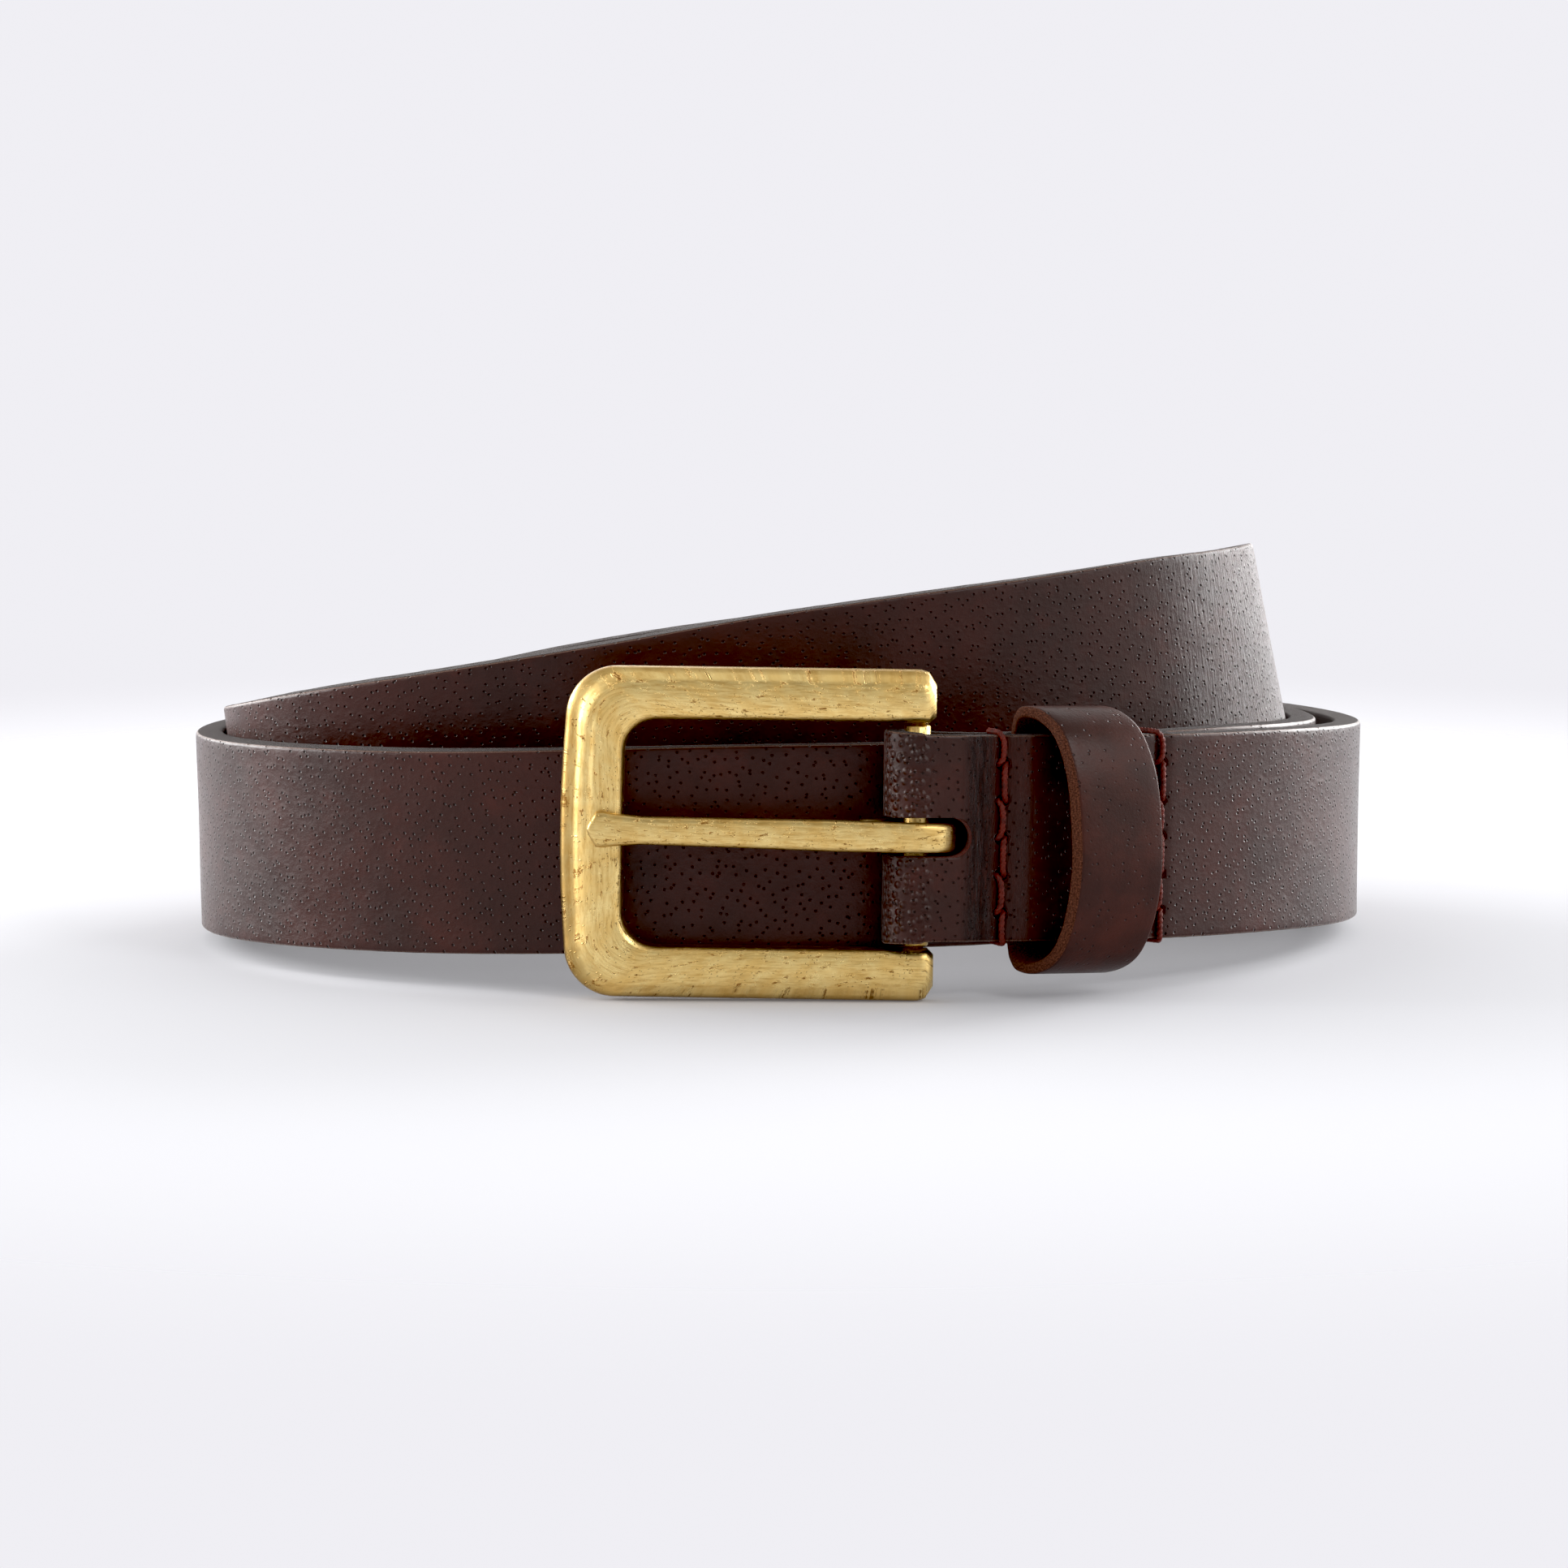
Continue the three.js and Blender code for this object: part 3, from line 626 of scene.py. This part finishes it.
def build_strap(material):
    section = strap_section()
    rings, skin, side, zone = [], [], [], []
    travelled, last = 0.0, None
    for step in range(STRAP_STEPS + 1):
        grain, flesh, up, facing, turn = strap_station(step)
        if last is not None:
            travelled += np.linalg.norm(grain - last)
        last = grain
        share = width_share(turn)
        flare = FOLD_FLARE * fold_bulge(step)
        ring, ring_skin, ring_side = [], [], []
        for x, y in section:
            height = STRAP_WIDTH * (0.5 + (y - 0.5) * share)
            point = grain + (flesh - grain) * x + up * (height + flare * (2 * y - 1) ** 3)
            fibre = 0.05 * wobble(travelled / 1.1, height * 2, x * 3)
            if turn is not None and x < 0.3:
                point = point + facing * grain_relief(turn, height, travelled) * (1 - x / 0.3)
            if y in (0.0, 1.0) or 0.1 < x < 0.9:
                point = point + up * fibre * (1 if y > 0.5 else -1)
            ring.append(point)
            ring_skin.append((travelled * MM, (height + x * STRAP_THICKNESS) * MM))
            ring_side.append((min(1.0, x / 0.14) if x < 0.9 else 1.0, 0.0))
        rings.append(ring)
        skin.append(ring_skin)
        side.append(ring_side)
        zone.append([zones_at(step, turn)] * len(section))
    layers = {"strap": skin, "side": side, "zone": zone}
    return mesh_from("strap_leather", rings, layers, material)


def column(outlines, matrix, heights, material):
    """A cutter whose (x, y) outline is the one given at each height along the matrix's Z."""
    rings = [[tuple(matrix @ Vector((x, y, z))) for x, y in outline]
             for outline, z in zip(outlines, heights)]
    count = len(outlines[0])
    skin = [[(x * MM, (y + z) * MM) for x, y in outline] for outline, z in zip(outlines, heights)]
    layers = {"strap": skin, "side": [[(1.0, 1.0)] * count] * len(heights),
              "zone": [[(0.0, 0.0)] * count] * len(heights)}
    return mesh_from("cutter", rings, layers, material)


def matrix_at(turn, outwards, upwards):
    """A place on the strap's route, with X along it, Y up across its width and Z out."""
    _, along, up, out = frame_at(turn)
    origin = place(turn, outwards, upwards)
    rows = [[along[k], up[k], out[k], origin[k]] for k in range(3)]
    return Matrix(rows + [[0, 0, 0, 1]])


def ellipse(half_width, half_height, sides):
    return [(half_width * math.cos(a), half_height * math.sin(a))
            for a in (2 * math.pi * k / sides for k in range(sides))]


def heel_matrix():
    return matrix_at(HEEL_TURN, -HEEL_DEPTH, STRAP_WIDTH / 2 + BUCKLE_LIFT)


def buckle_matrix():
    return heel_matrix() @ Matrix.Rotation(math.radians(BUCKLE_SWING), 4, "Y")


def slot_outline(reach, radius):
    """The prong slot from above: open ended before the fold, round at its other end."""
    ends = [(reach - radius + radius * math.cos(a), radius * math.sin(a))
            for a in np.linspace(-math.pi / 2, math.pi / 2, 17)]
    return [(-SLOT_REACH, -radius)] + ends + [(-SLOT_REACH, radius)]


def cut_strap(strap, material):
    wide = slot_outline(SLOT_REACH, SLOT_HEIGHT / 2)
    waist = slot_outline(SLOT_WAIST_REACH, SLOT_WAIST_RADIUS)
    cutters = [column((wide, wide, waist, wide, wide), heel_matrix(), SLOT_HEIGHTS, material)]
    stitch_hole = ellipse(STITCH_HOLE_HALF_LENGTH, STITCH_HOLE_HALF_HEIGHT, 14)
    for turn in ROW_TURNS:
        for i in range(HOLE_COUNT):
            matrix = matrix_at(turn, 0, hole_height(i))
            cutters.append(column((stitch_hole, stitch_hole), matrix, HOLE_DEPTHS, material))
    punched = ellipse(PUNCH_RADIUS, PUNCH_RADIUS, 32)
    for i in range(PUNCH_COUNT):
        matrix = matrix_at(PUNCH_FIRST_TURN + i * PUNCH_STEP_IN_TURN, 0, STRAP_WIDTH / 2)
        cutters.append(column((punched, punched), matrix, HOLE_DEPTHS, material))
    return cut(strap, cutters)


# ---------------------------------------------------------------- buckle

PROFILE_POINTS = 72
PROFILE_STEP = 0.55
BRASS_DOME = 0.6
GROOVE_DEPTH, GROOVE_HALF_WIDTH = 0.30, 0.55
LOWER_GROOVE_SHARE = 0.45
SPIGOT_RADIUS = 1.2
SPIGOT_REACH = 2.8
BAR_CHAMFER = 0.25
FAR_FROM_END = 99.0


def frame_edges():
    """(outer edge, inner edge, distance to the arm's end, how far into the left bar) round the frame."""
    outer_radius, inner_radius = FRAME_OUTER_RADIUS, FRAME_INNER_RADIUS
    outer_x, outer_y = FRAME_LEFT + outer_radius, FRAME_HALF_HEIGHT - outer_radius
    inner_x, inner_y = WINDOW_LEFT + inner_radius, WINDOW_HALF_HEIGHT - inner_radius
    upper = []
    arm = [1 - (1 - k / 44) ** 1.6 for k in range(12)]
    shares = [s * 0.25 / arm[-1] for s in arm] + list(np.linspace(0.25, 1, 40)[1:])
    for share in shares:
        x_outer = ARM_END + (outer_x - ARM_END) * share
        x_inner = ARM_END + (inner_x - ARM_END) * share
        upper.append((x_outer, FRAME_HALF_HEIGHT, x_inner, WINDOW_HALF_HEIGHT, ARM_END - x_inner, 0.0))
    for k in range(1, 19):
        a = math.pi / 2 * (1 + k / 18)
        upper.append((outer_x + outer_radius * math.cos(a), outer_y + outer_radius * math.sin(a),
                      inner_x + inner_radius * math.cos(a), inner_y + inner_radius * math.sin(a),
                      FAR_FROM_END, k / 18))
    for k in range(1, 13):
        share = k / 12
        bow = FRAME_BOW * (1 - (1 - share) ** 2)
        upper.append((FRAME_LEFT - bow, outer_y * (1 - share), WINDOW_LEFT, inner_y * (1 - share),
                      FAR_FROM_END, 1.0))
    lower = [(xo, -yo, xi, -yi, end, bar) for xo, yo, xi, yi, end, bar in upper[-2::-1]]
    return upper + lower


def frame_profile(width, bar):
    """The frame's section, from its outer side (0) to its inner side (width), and its depth."""
    bevel = width * (0.24 + 0.18 * bar)
    return rounded_outline([
        (0, FRAME_BACK, 0.8),
        (0, FRAME_FRONT - 2.0 - 0.2 * bar, 1.6),
        (bevel, FRAME_FRONT - 0.5, 1.5),
        (width, FRAME_FRONT - 0.5, 1.3),
        (width, FRAME_BACK, 0.8),
    ], segments=5, step=PROFILE_STEP)


def brass_painted_shade(p, q, width, bar):
    """How much painted shade darkens the frame's skin: most in its window and at its back, some on its
    rims.
    """
    if q < -1.2:
        return 0.8
    if p > width - 0.35 and q < 2.4:
        return 1.0
    outer_rim = max(0.0, 1 - max(p, 0.0) / (0.9 + 2.3 * bar)) ** 0.5
    inner_rim = max(0.0, 1 - max(width - p, 0.0) / 0.9)
    return max((0.75 + 0.2 * bar) * outer_rim, 0.55 * inner_rim)


def build_frame(material):
    stations = frame_edges()
    matrix = buckle_matrix()
    rings, skin, side = [], [], []
    travelled, last = 0.0, None
    for number, (xo, yo, xi, yi, to_end, bar) in enumerate(stations):
        outer, inner = np.array([xo, yo]), np.array([xi, yi])
        width = np.linalg.norm(inner - outer)
        across = (inner - outer) / width
        middle = (outer + inner) / 2
        if last is not None:
            travelled += np.linalg.norm(middle - last)
        last = middle
        groove = GROOVE_DEPTH * bar * (LOWER_GROOVE_SHARE if number > len(stations) / 2 else 1.0)
        groove_at = width * 0.43
        ring, ring_skin, ring_side = [], [], []
        for p, q in resample(frame_profile(width, bar), PROFILE_POINTS):
            if q > 0:
                dome = BRASS_DOME * (1 - ((p - width * 0.62) / (width * 0.5)) ** 2)
                q += max(0.0, dome) * (1 if q > 2 else 0)
                q -= groove * math.exp(-((p - groove_at) / GROOVE_HALF_WIDTH) ** 2)
                q += 0.05 * wobble(travelled / 6, p / 3, 2.0)
            if to_end < ARM_END_RADIUS:
                p, q = rounded_end(p, q, width, to_end)
            xy = outer + across * p
            ring.append(tuple(matrix @ Vector((xy[0], xy[1], q))))
            ring_skin.append((travelled * MM, (p - q) * MM))
            ring_side.append((brass_painted_shade(p, q, width, bar), 0.0))
        rings.append(ring)
        skin.append(ring_skin)
        side.append(ring_side)
    return mesh_from("buckle_frame_brass", rings, {"strap": skin, "side": side}, material)


def resample(outline, count):
    """The same closed outline with count points, evenly spaced from its first."""
    closed = np.vstack([outline, outline[:1]])
    lengths = np.concatenate([[0], np.cumsum(np.linalg.norm(np.diff(closed, axis=0), axis=1))])
    at = np.linspace(0, lengths[-1], count, endpoint=False)
    return np.stack([np.interp(at, lengths, closed[:, k]) for k in (0, 1)], -1)


def rounded_end(p, q, width, to_end):
    """Draws a point of the arm's section in where the arm's end is rounded."""
    def inset(radius):
        short = max(radius - to_end, 0.0)
        return radius - math.sqrt(max(radius ** 2 - short ** 2, 0.0))
    outer, inner, faces = inset(ARM_END_RADIUS), inset(0.9), inset(1.1)
    p = outer + p * (width - outer - inner) / width
    middle = (FRAME_BACK + FRAME_FRONT) / 2
    half = (FRAME_FRONT - FRAME_BACK) / 2
    q = middle + (q - middle) * (half - faces) / half
    return p, q


def build_bar(material):
    shoulder = WINDOW_HALF_HEIGHT - RUNNING_GAP
    upper = [(shoulder - BAR_CHAMFER, BAR_RADIUS), (shoulder, BAR_RADIUS - BAR_CHAMFER),
             (shoulder + 0.01, SPIGOT_RADIUS), (shoulder + SPIGOT_REACH, SPIGOT_RADIUS)]
    lower = [(-height, radius) for height, radius in upper[::-1]]
    angles = np.linspace(0, 2 * math.pi, 40, endpoint=False)
    matrix = buckle_matrix()
    rings, skin, side = [], [], []
    for height, radius in lower + upper:
        rings.append([tuple(matrix @ Vector((radius * math.sin(a), height, radius * math.cos(a))))
                      for a in angles])
        skin.append([(height * MM, a * radius * MM) for a in angles])
        # Painted shade: the heel bar is darkened a little all over.
        side.append([(0.25, 0.0)] * len(angles))
    return mesh_from("heel_bar_brass", rings, {"strap": skin, "side": side}, material)


# ---------------------------------------------------------------- prong

PRONG_WIDTHS = [(-47.5, 0.55), (-46.9, 1.45), (-46.2, 2.55), (-45.2, 2.6), (-43.5, 2.35), (-39.8, 2.0),
                (-25, 2.1), (-12, 2.25), (10, 2.1)]


def prong_half_width(x):
    return float(np.interp(x, *zip(*PRONG_WIDTHS)))


def prong_route():
    """(x, depth) points from the tip, past the heel bar and round it to the curl's end."""
    depth = PRONG_MIDDLE_DEPTH
    return [
        (PRONG_TIP, depth), (PRONG_TIP / 2, depth), (-6, depth), (0.5, depth - 0.1),
        (3.6, 3.2), (4.4, 0.4), (2.7, -2.5), (0, -3.5), (-2.9, -2.3), (-5.2, 0), (-8, 1.4),
    ]


def build_prong(material):
    matrix = buckle_matrix() @ Matrix.Rotation(math.radians(PRONG_TILT), 4, "Z")
    dense = catmull(prong_route(), 600)
    lengths = np.concatenate([[0], np.cumsum(np.linalg.norm(np.diff(dense, axis=0), axis=1))])
    total = lengths[-1]
    at = [0, 0.12, 0.35, 0.65, 1.0, 1.3, 1.7, 2.3, 3.0, 4.0, 5.5, 7.7]
    at += list(np.arange(9.5, total - 1.0, 0.8)) + [total - 0.6, total - 0.25, total - 0.08, total]
    route = np.stack([np.interp(at, lengths, dense[:, k]) for k in (0, 1)], -1)
    rings, skin, side = [], [], []
    for i, (x, depth) in enumerate(route):
        ahead, behind = route[min(i + 1, len(route) - 1)], route[max(i - 1, 0)]
        tangent = unit(ahead - behind)
        across = np.array([-tangent[1], tangent[0]])
        from_tip, from_end = at[i], total - at[i]
        soften = 0.0
        for distance, radius in ((from_tip, 0.55), (from_end, 0.5)):
            short = max(radius - distance, 0.0)
            soften = max(soften, radius - math.sqrt(max(radius ** 2 - short ** 2, 0.0)))
        half_height = max(prong_half_width(x) - 0.5 * soften, 0.15)
        half_depth = PRONG_THICKNESS / 2 - 0.8 * soften
        corner = min(0.62, half_height * 0.8, half_depth * 0.8)
        outline = rounded_outline([
            (-half_height, -half_depth, corner), (half_height, -half_depth, corner),
            (half_height, half_depth, corner), (-half_height, half_depth, corner)], segments=4)
        outline = resample(outline, 40)
        ring, ring_skin, ring_side = [], [], []
        for height, thick in outline:
            crown = 0.12 * (1 - (height / max(half_height, 0.5)) ** 2) if thick > 0 else 0.0
            offset = across * (thick + crown)
            ring.append(tuple(matrix @ Vector((x + offset[0], height, depth + offset[1]))))
            ring_skin.append((at[i] * MM, (height + thick) * MM))
            rim = max(0.0, 1 - (half_height - abs(height)) / 0.8)
            # Painted shade: the prong's back is darkened most, its rims somewhat.
            ring_side.append((0.6 if thick < -0.9 else 0.12 + 0.45 * rim, 0.0))
        rings.append(ring[::-1])
        skin.append(ring_skin[::-1])
        side.append(ring_side[::-1])
    return mesh_from("prong_brass", rings, {"strap": skin, "side": side}, material)


# ---------------------------------------------------------------- keeper loop

KEEPER_ROUTE = [
    (-2.8, 0), (-2.8, 3.5), (-2.8, 15), (-2.8, 27), (-2.7, 30.6), (-1.2, 32.8), (2.2, 33.2), (6, 31),
    (8.6, 25.5), (9.8, 18), (10, 10), (8.8, 2.6), (6.2, -2.2), (2.2, -3.9), (-1.3, -2.8),
]


def build_keeper(material):
    route = catmull(KEEPER_ROUTE, 150, closed=True)
    half_width, half_thick = KEEPER_WIDTH / 2, KEEPER_THICKNESS / 2
    section = rounded_outline([
        (-half_width, -half_thick, 0.45), (half_width, -half_thick, 0.45),
        (half_width, half_thick, 0.6), (-half_width, half_thick, 0.6)], segments=5, step=1.2)
    rings, skin, side = [], [], []
    travelled = 0.0
    for i, (outwards, upwards) in enumerate(route):
        tangent = unit(route[(i + 1) % len(route)] - route[i - 1])
        away = np.array([-tangent[1], tangent[0]])
        travelled += np.linalg.norm(route[i] - route[i - 1]) if i else 0.0
        ring, ring_skin, ring_side = [], [], []
        for across, thick in section:
            hem = abs(across) > half_width - 0.3
            raw = hem and abs(thick) < half_thick - 0.05 or thick < -0.3
            soft = 0.10 * wobble(travelled / 7, across / 6, 5.5) if outwards > 3 else 0.0
            fibre = 0.06 * wobble(travelled / 1.2, thick, 9.0) if hem else 0.0
            t, v = (outwards, upwards) + away * (thick + soft)
            sideways = across + KEEPER_SKEW * max(t, 0.0) + fibre
            turn = KEEPER_TURN + sideways / length_per_turn(KEEPER_TURN)
            ring.append(place(turn, t, v))
            ring_skin.append((travelled * MM, (across + thick) * MM))
            ring_side.append((1.0 if raw else 0.0, 0.0))
        rings.append(ring)
        skin.append(ring_skin)
        side.append(ring_side)
    return mesh_from("keeper_loop_leather", rings, {"strap": skin, "side": side}, material, closed=True)


# ---------------------------------------------------------------- stitching

THREAD_SIDES = 18
THREAD_STEP = 0.16
THREAD_TWIST = 2.4
THREAD_PLIES = 3


def thread_route(turn, starts_at_front):
    """(out, up) points of one thread of a row, from the lower edge, through every hole, to the upper."""
    front = GRAIN - 0.02
    back = -value_at(TURNBACK_DEPTHS, turn) - TURNBACK_THICKNESS - 0.3
    clear = 0.3
    side = front if starts_at_front else back
    if starts_at_front:
        route = [(back + 2, -clear), (0.5, -clear), (front - 0.6, -clear + 0.1), (front, 0.7)]
    else:
        route = [(back, hole_height(0) - 2.6)]
    for i in range(HOLE_COUNT):
        other = back if side == front else front
        height = hole_height(i)
        step = -1 if side == front else 1
        route += [(side, height - 0.9), (side + 0.7 * step, height), (other - 0.7 * step, height),
                  (other, height + 0.9)]
        side = other
    if side == front:
        top = STRAP_WIDTH + clear
        route += [(front, STRAP_WIDTH - 0.7), (front - 0.6, top - 0.1), (0.5, top), (back + 2, top)]
    else:
        route += [(back, hole_height(HOLE_COUNT - 1) + 2.6)]
    return route


def build_thread(name, turn, starts_at_front, material):
    offset = THREAD_PAIR_OFFSET if starts_at_front else -THREAD_PAIR_OFFSET
    controls = [place(turn, t, v, offset * (0.3 if t > GRAIN - 0.5 else 1.0))
                for t, v in thread_route(turn, starts_at_front)]
    dense = catmull(controls, 900)
    lengths = np.concatenate([[0], np.cumsum(np.linalg.norm(np.diff(dense, axis=0), axis=1))])
    count = int(lengths[-1] / THREAD_STEP)
    at = np.linspace(0, lengths[-1], count)
    path = np.stack([np.interp(at, lengths, dense[:, k]) for k in range(3)], -1)
    sideways = frame_at(turn)[1]
    rings, skin, side = [], [], []
    for i, point in enumerate(path):
        tangent = unit(path[min(i + 1, count - 1)] - path[max(i - 1, 0)])
        first = unit(sideways - tangent * (sideways @ tangent))
        second = np.cross(tangent, first)
        ring, ring_skin = [], []
        for k in range(THREAD_SIDES):
            a = 2 * math.pi * k / THREAD_SIDES
            ply = 1 + 0.15 * math.cos(THREAD_PLIES * (a - at[i] * 2 * math.pi / THREAD_TWIST))
            rough = 1 + 0.10 * wobble(at[i] * 2.2, a, turn)
            radius = THREAD_RADIUS * 1.02 * ply * rough
            ring.append(point + radius * (first * math.cos(a) + second * math.sin(a)))
            ring_skin.append((at[i] * MM, a * THREAD_RADIUS * MM))
        rings.append(ring)
        skin.append(ring_skin)
        side.append([(0.0, 0.0)] * THREAD_SIDES)
    return mesh_from(name, rings, {"strap": skin, "side": side}, material)


# ---------------------------------------------------------------- camera, light and floor

CAMERA_TARGET = Vector((0.47, 2.5, 22.9)) * MM
CAMERA_DISTANCE = 1.15
CAMERA_AZIMUTH = -5.0
CAMERA_ELEVATION = 8.0
CAMERA_LENS = 172.5

BACKDROP = (0.871, 0.863, 0.905, 1)
FLOOR_COLOUR = (0.585, 0.585, 0.608, 1)
FLOOR_GLOW = 0.1
FRONT_LIGHT = 0.5
SIDE_LIGHT = 2.5
FLOOR_HALF_SIZE = 0.5
FLOOR_FADES = (0.16, 0.34)
BLACK_POINT = (0.0115, 0.014, 0.0145)

SOFTBOX_DISTANCE = 0.9
SOFTBOXES = [
    # name, azimuth, elevation, size, power
    ("key", 38, 36, (0.25, 0.25), 1.6),
    ("left_behind", -125, 16, (0.5, 0.45), 8.0),
    ("left", -96, 12, (0.35, 0.35), 4.5),
    ("right", 114, 12, (0.35, 0.35), 2.5),
    ("right_behind", 128, 16, (0.5, 0.45), 8.0),
]


def view_direction(azimuth, elevation):
    """The way from the middle out to a viewer at that azimuth and elevation."""
    a, e = math.radians(azimuth), math.radians(elevation)
    return Vector((math.sin(a) * math.cos(e), -math.cos(a) * math.cos(e), math.sin(e)))


def add_camera():
    data = bpy.data.cameras.new("camera")
    data.lens = CAMERA_LENS
    data.sensor_width = 36.0
    camera = bpy.data.objects.new("camera", data)
    away = view_direction(CAMERA_AZIMUTH, CAMERA_ELEVATION)
    camera.location = CAMERA_TARGET + away * CAMERA_DISTANCE
    camera.rotation_mode = "QUATERNION"
    camera.rotation_quaternion = (-away).to_track_quat("-Z", "Y")
    data.clip_start, data.clip_end = 0.05, 60.0
    bpy.context.scene.collection.objects.link(camera)
    bpy.context.scene.camera = camera


def add_softbox(name, azimuth, elevation, size, power):
    data = bpy.data.lights.new(name, "AREA")
    data.shape = "RECTANGLE"
    data.size, data.size_y = size
    data.energy = power
    light = bpy.data.objects.new(name, data)
    light.visible_camera = False
    away = view_direction(azimuth, elevation)
    light.location = Vector((0, 0, STRAP_WIDTH * MM)) + away * SOFTBOX_DISTANCE
    light.rotation_mode = "QUATERNION"
    light.rotation_quaternion = (-away).to_track_quat("-Z", "Y")
    bpy.context.scene.collection.objects.link(light)


def add_world():
    """A white studio: plain below the horizon, dim overhead, brightest at the sides and behind."""
    world = bpy.data.worlds.new("studio")
    world.use_nodes = True
    tree = world.node_tree

    def node(kind, inputs, **settings):
        made = tree.nodes.new(kind)
        for key, value in settings.items():
            setattr(made, key, value)
        for key, value in inputs.items():
            if isinstance(value, bpy.types.NodeSocket):
                tree.links.new(value, made.inputs[key])
            else:
                made.inputs[key].default_value = value
        return made.outputs

    def fade(value, low, high, to_low, to_high):
        return node("ShaderNodeMapRange", {
            "Value": value, "From Min": low, "From Max": high, "To Min": to_low, "To Max": to_high},
            interpolation_type="SMOOTHSTEP")["Result"]

    direction = tree.nodes.new("ShaderNodeTexCoord").outputs["Generated"]
    parts = node("ShaderNodeSeparateXYZ", {"Vector": direction})
    round_about = fade(parts["Y"], -0.96, -0.1, FRONT_LIGHT, SIDE_LIGHT)
    overhead = fade(parts["Z"], 0.25, 0.8, 1.0, 0.3)
    level = node("ShaderNodeMath", {0: round_about, 1: overhead}, operation="MULTIPLY")[0]
    studio = node("ShaderNodeCombineXYZ", {"X": level, "Y": level, "Z": level})[0]
    above = fade(parts["Z"], 0.0, 0.04, 0.0, 1.0)
    seen = node("ShaderNodeMix", {0: above, 6: BACKDROP, 7: studio}, data_type="RGBA")[2]
    tree.links.new(seen, tree.nodes["Background"].inputs["Color"])
    bpy.context.scene.world = world


def add_floor():
    """A pale floor round the belt that thins out into the backdrop."""
    s = Shader("floor")
    tree = s.tree
    place_on_floor = s.node("ShaderNodeTexCoord").outputs["Object"]
    away = s.node("ShaderNodeVectorMath", {0: place_on_floor}, operation="LENGTH").outputs["Value"]
    matt = s.node("ShaderNodeBsdfDiffuse", {"Color": FLOOR_COLOUR})
    glow = s.node("ShaderNodeEmission", {"Color": BACKDROP, "Strength": 1.0})
    lit = s.node("ShaderNodeMixShader", {"Fac": FLOOR_GLOW, 1: matt, 2: glow})
    clear = s.node("ShaderNodeBsdfTransparent")
    faded = s.node("ShaderNodeMixShader", {"Fac": s.fade(away, *FLOOR_FADES), 1: lit, 2: clear})
    tree.links.new(faded.outputs[0], tree.nodes["Material Output"].inputs["Surface"])
    tree.nodes.remove(s.surface)
    half = FLOOR_HALF_SIZE
    corners = [(-half, -half, 0), (half, -half, 0), (half, half, 0), (-half, half, 0)]
    mesh = bpy.data.meshes.new("floor")
    mesh.from_pydata(corners, [], [(0, 1, 2, 3)])
    mesh.materials.append(s.material)
    floor = bpy.data.objects.new("floor", mesh)
    bpy.context.scene.collection.objects.link(floor)


def add_studio():
    view = bpy.context.scene.view_settings
    view.view_transform = "Standard"
    view.use_curve_mapping = True
    view.curve_mapping.black_level = BLACK_POINT
    view.curve_mapping.update()
    add_world()
    add_floor()
    for softbox in SOFTBOXES:
        add_softbox(*softbox)


# ---------------------------------------------------------------- the belt

leather = strap_leather()
brass = antique_brass("buckle_brass")
thread = waxed_thread()

strap = cut_strap(build_strap(leather), leather)
piece(strap, "strap", "strap")
piece(build_frame(brass), "buckle", "buckle_frame")
piece(build_bar(brass), "buckle", "heel_bar")
piece(build_prong(brass), "prong", "prong")
piece(build_keeper(keeper_leather()), "keeper", "keeper_loop")
for row, row_turn in enumerate(ROW_TURNS, 1):
    for letter, at_front in (("a", False), ("b", True)):
        node = f"stitch_row_{row}_thread_{letter}"
        piece(build_thread(node + "_waxed", row_turn, at_front, thread), "strap", node)

add_camera()
add_studio()
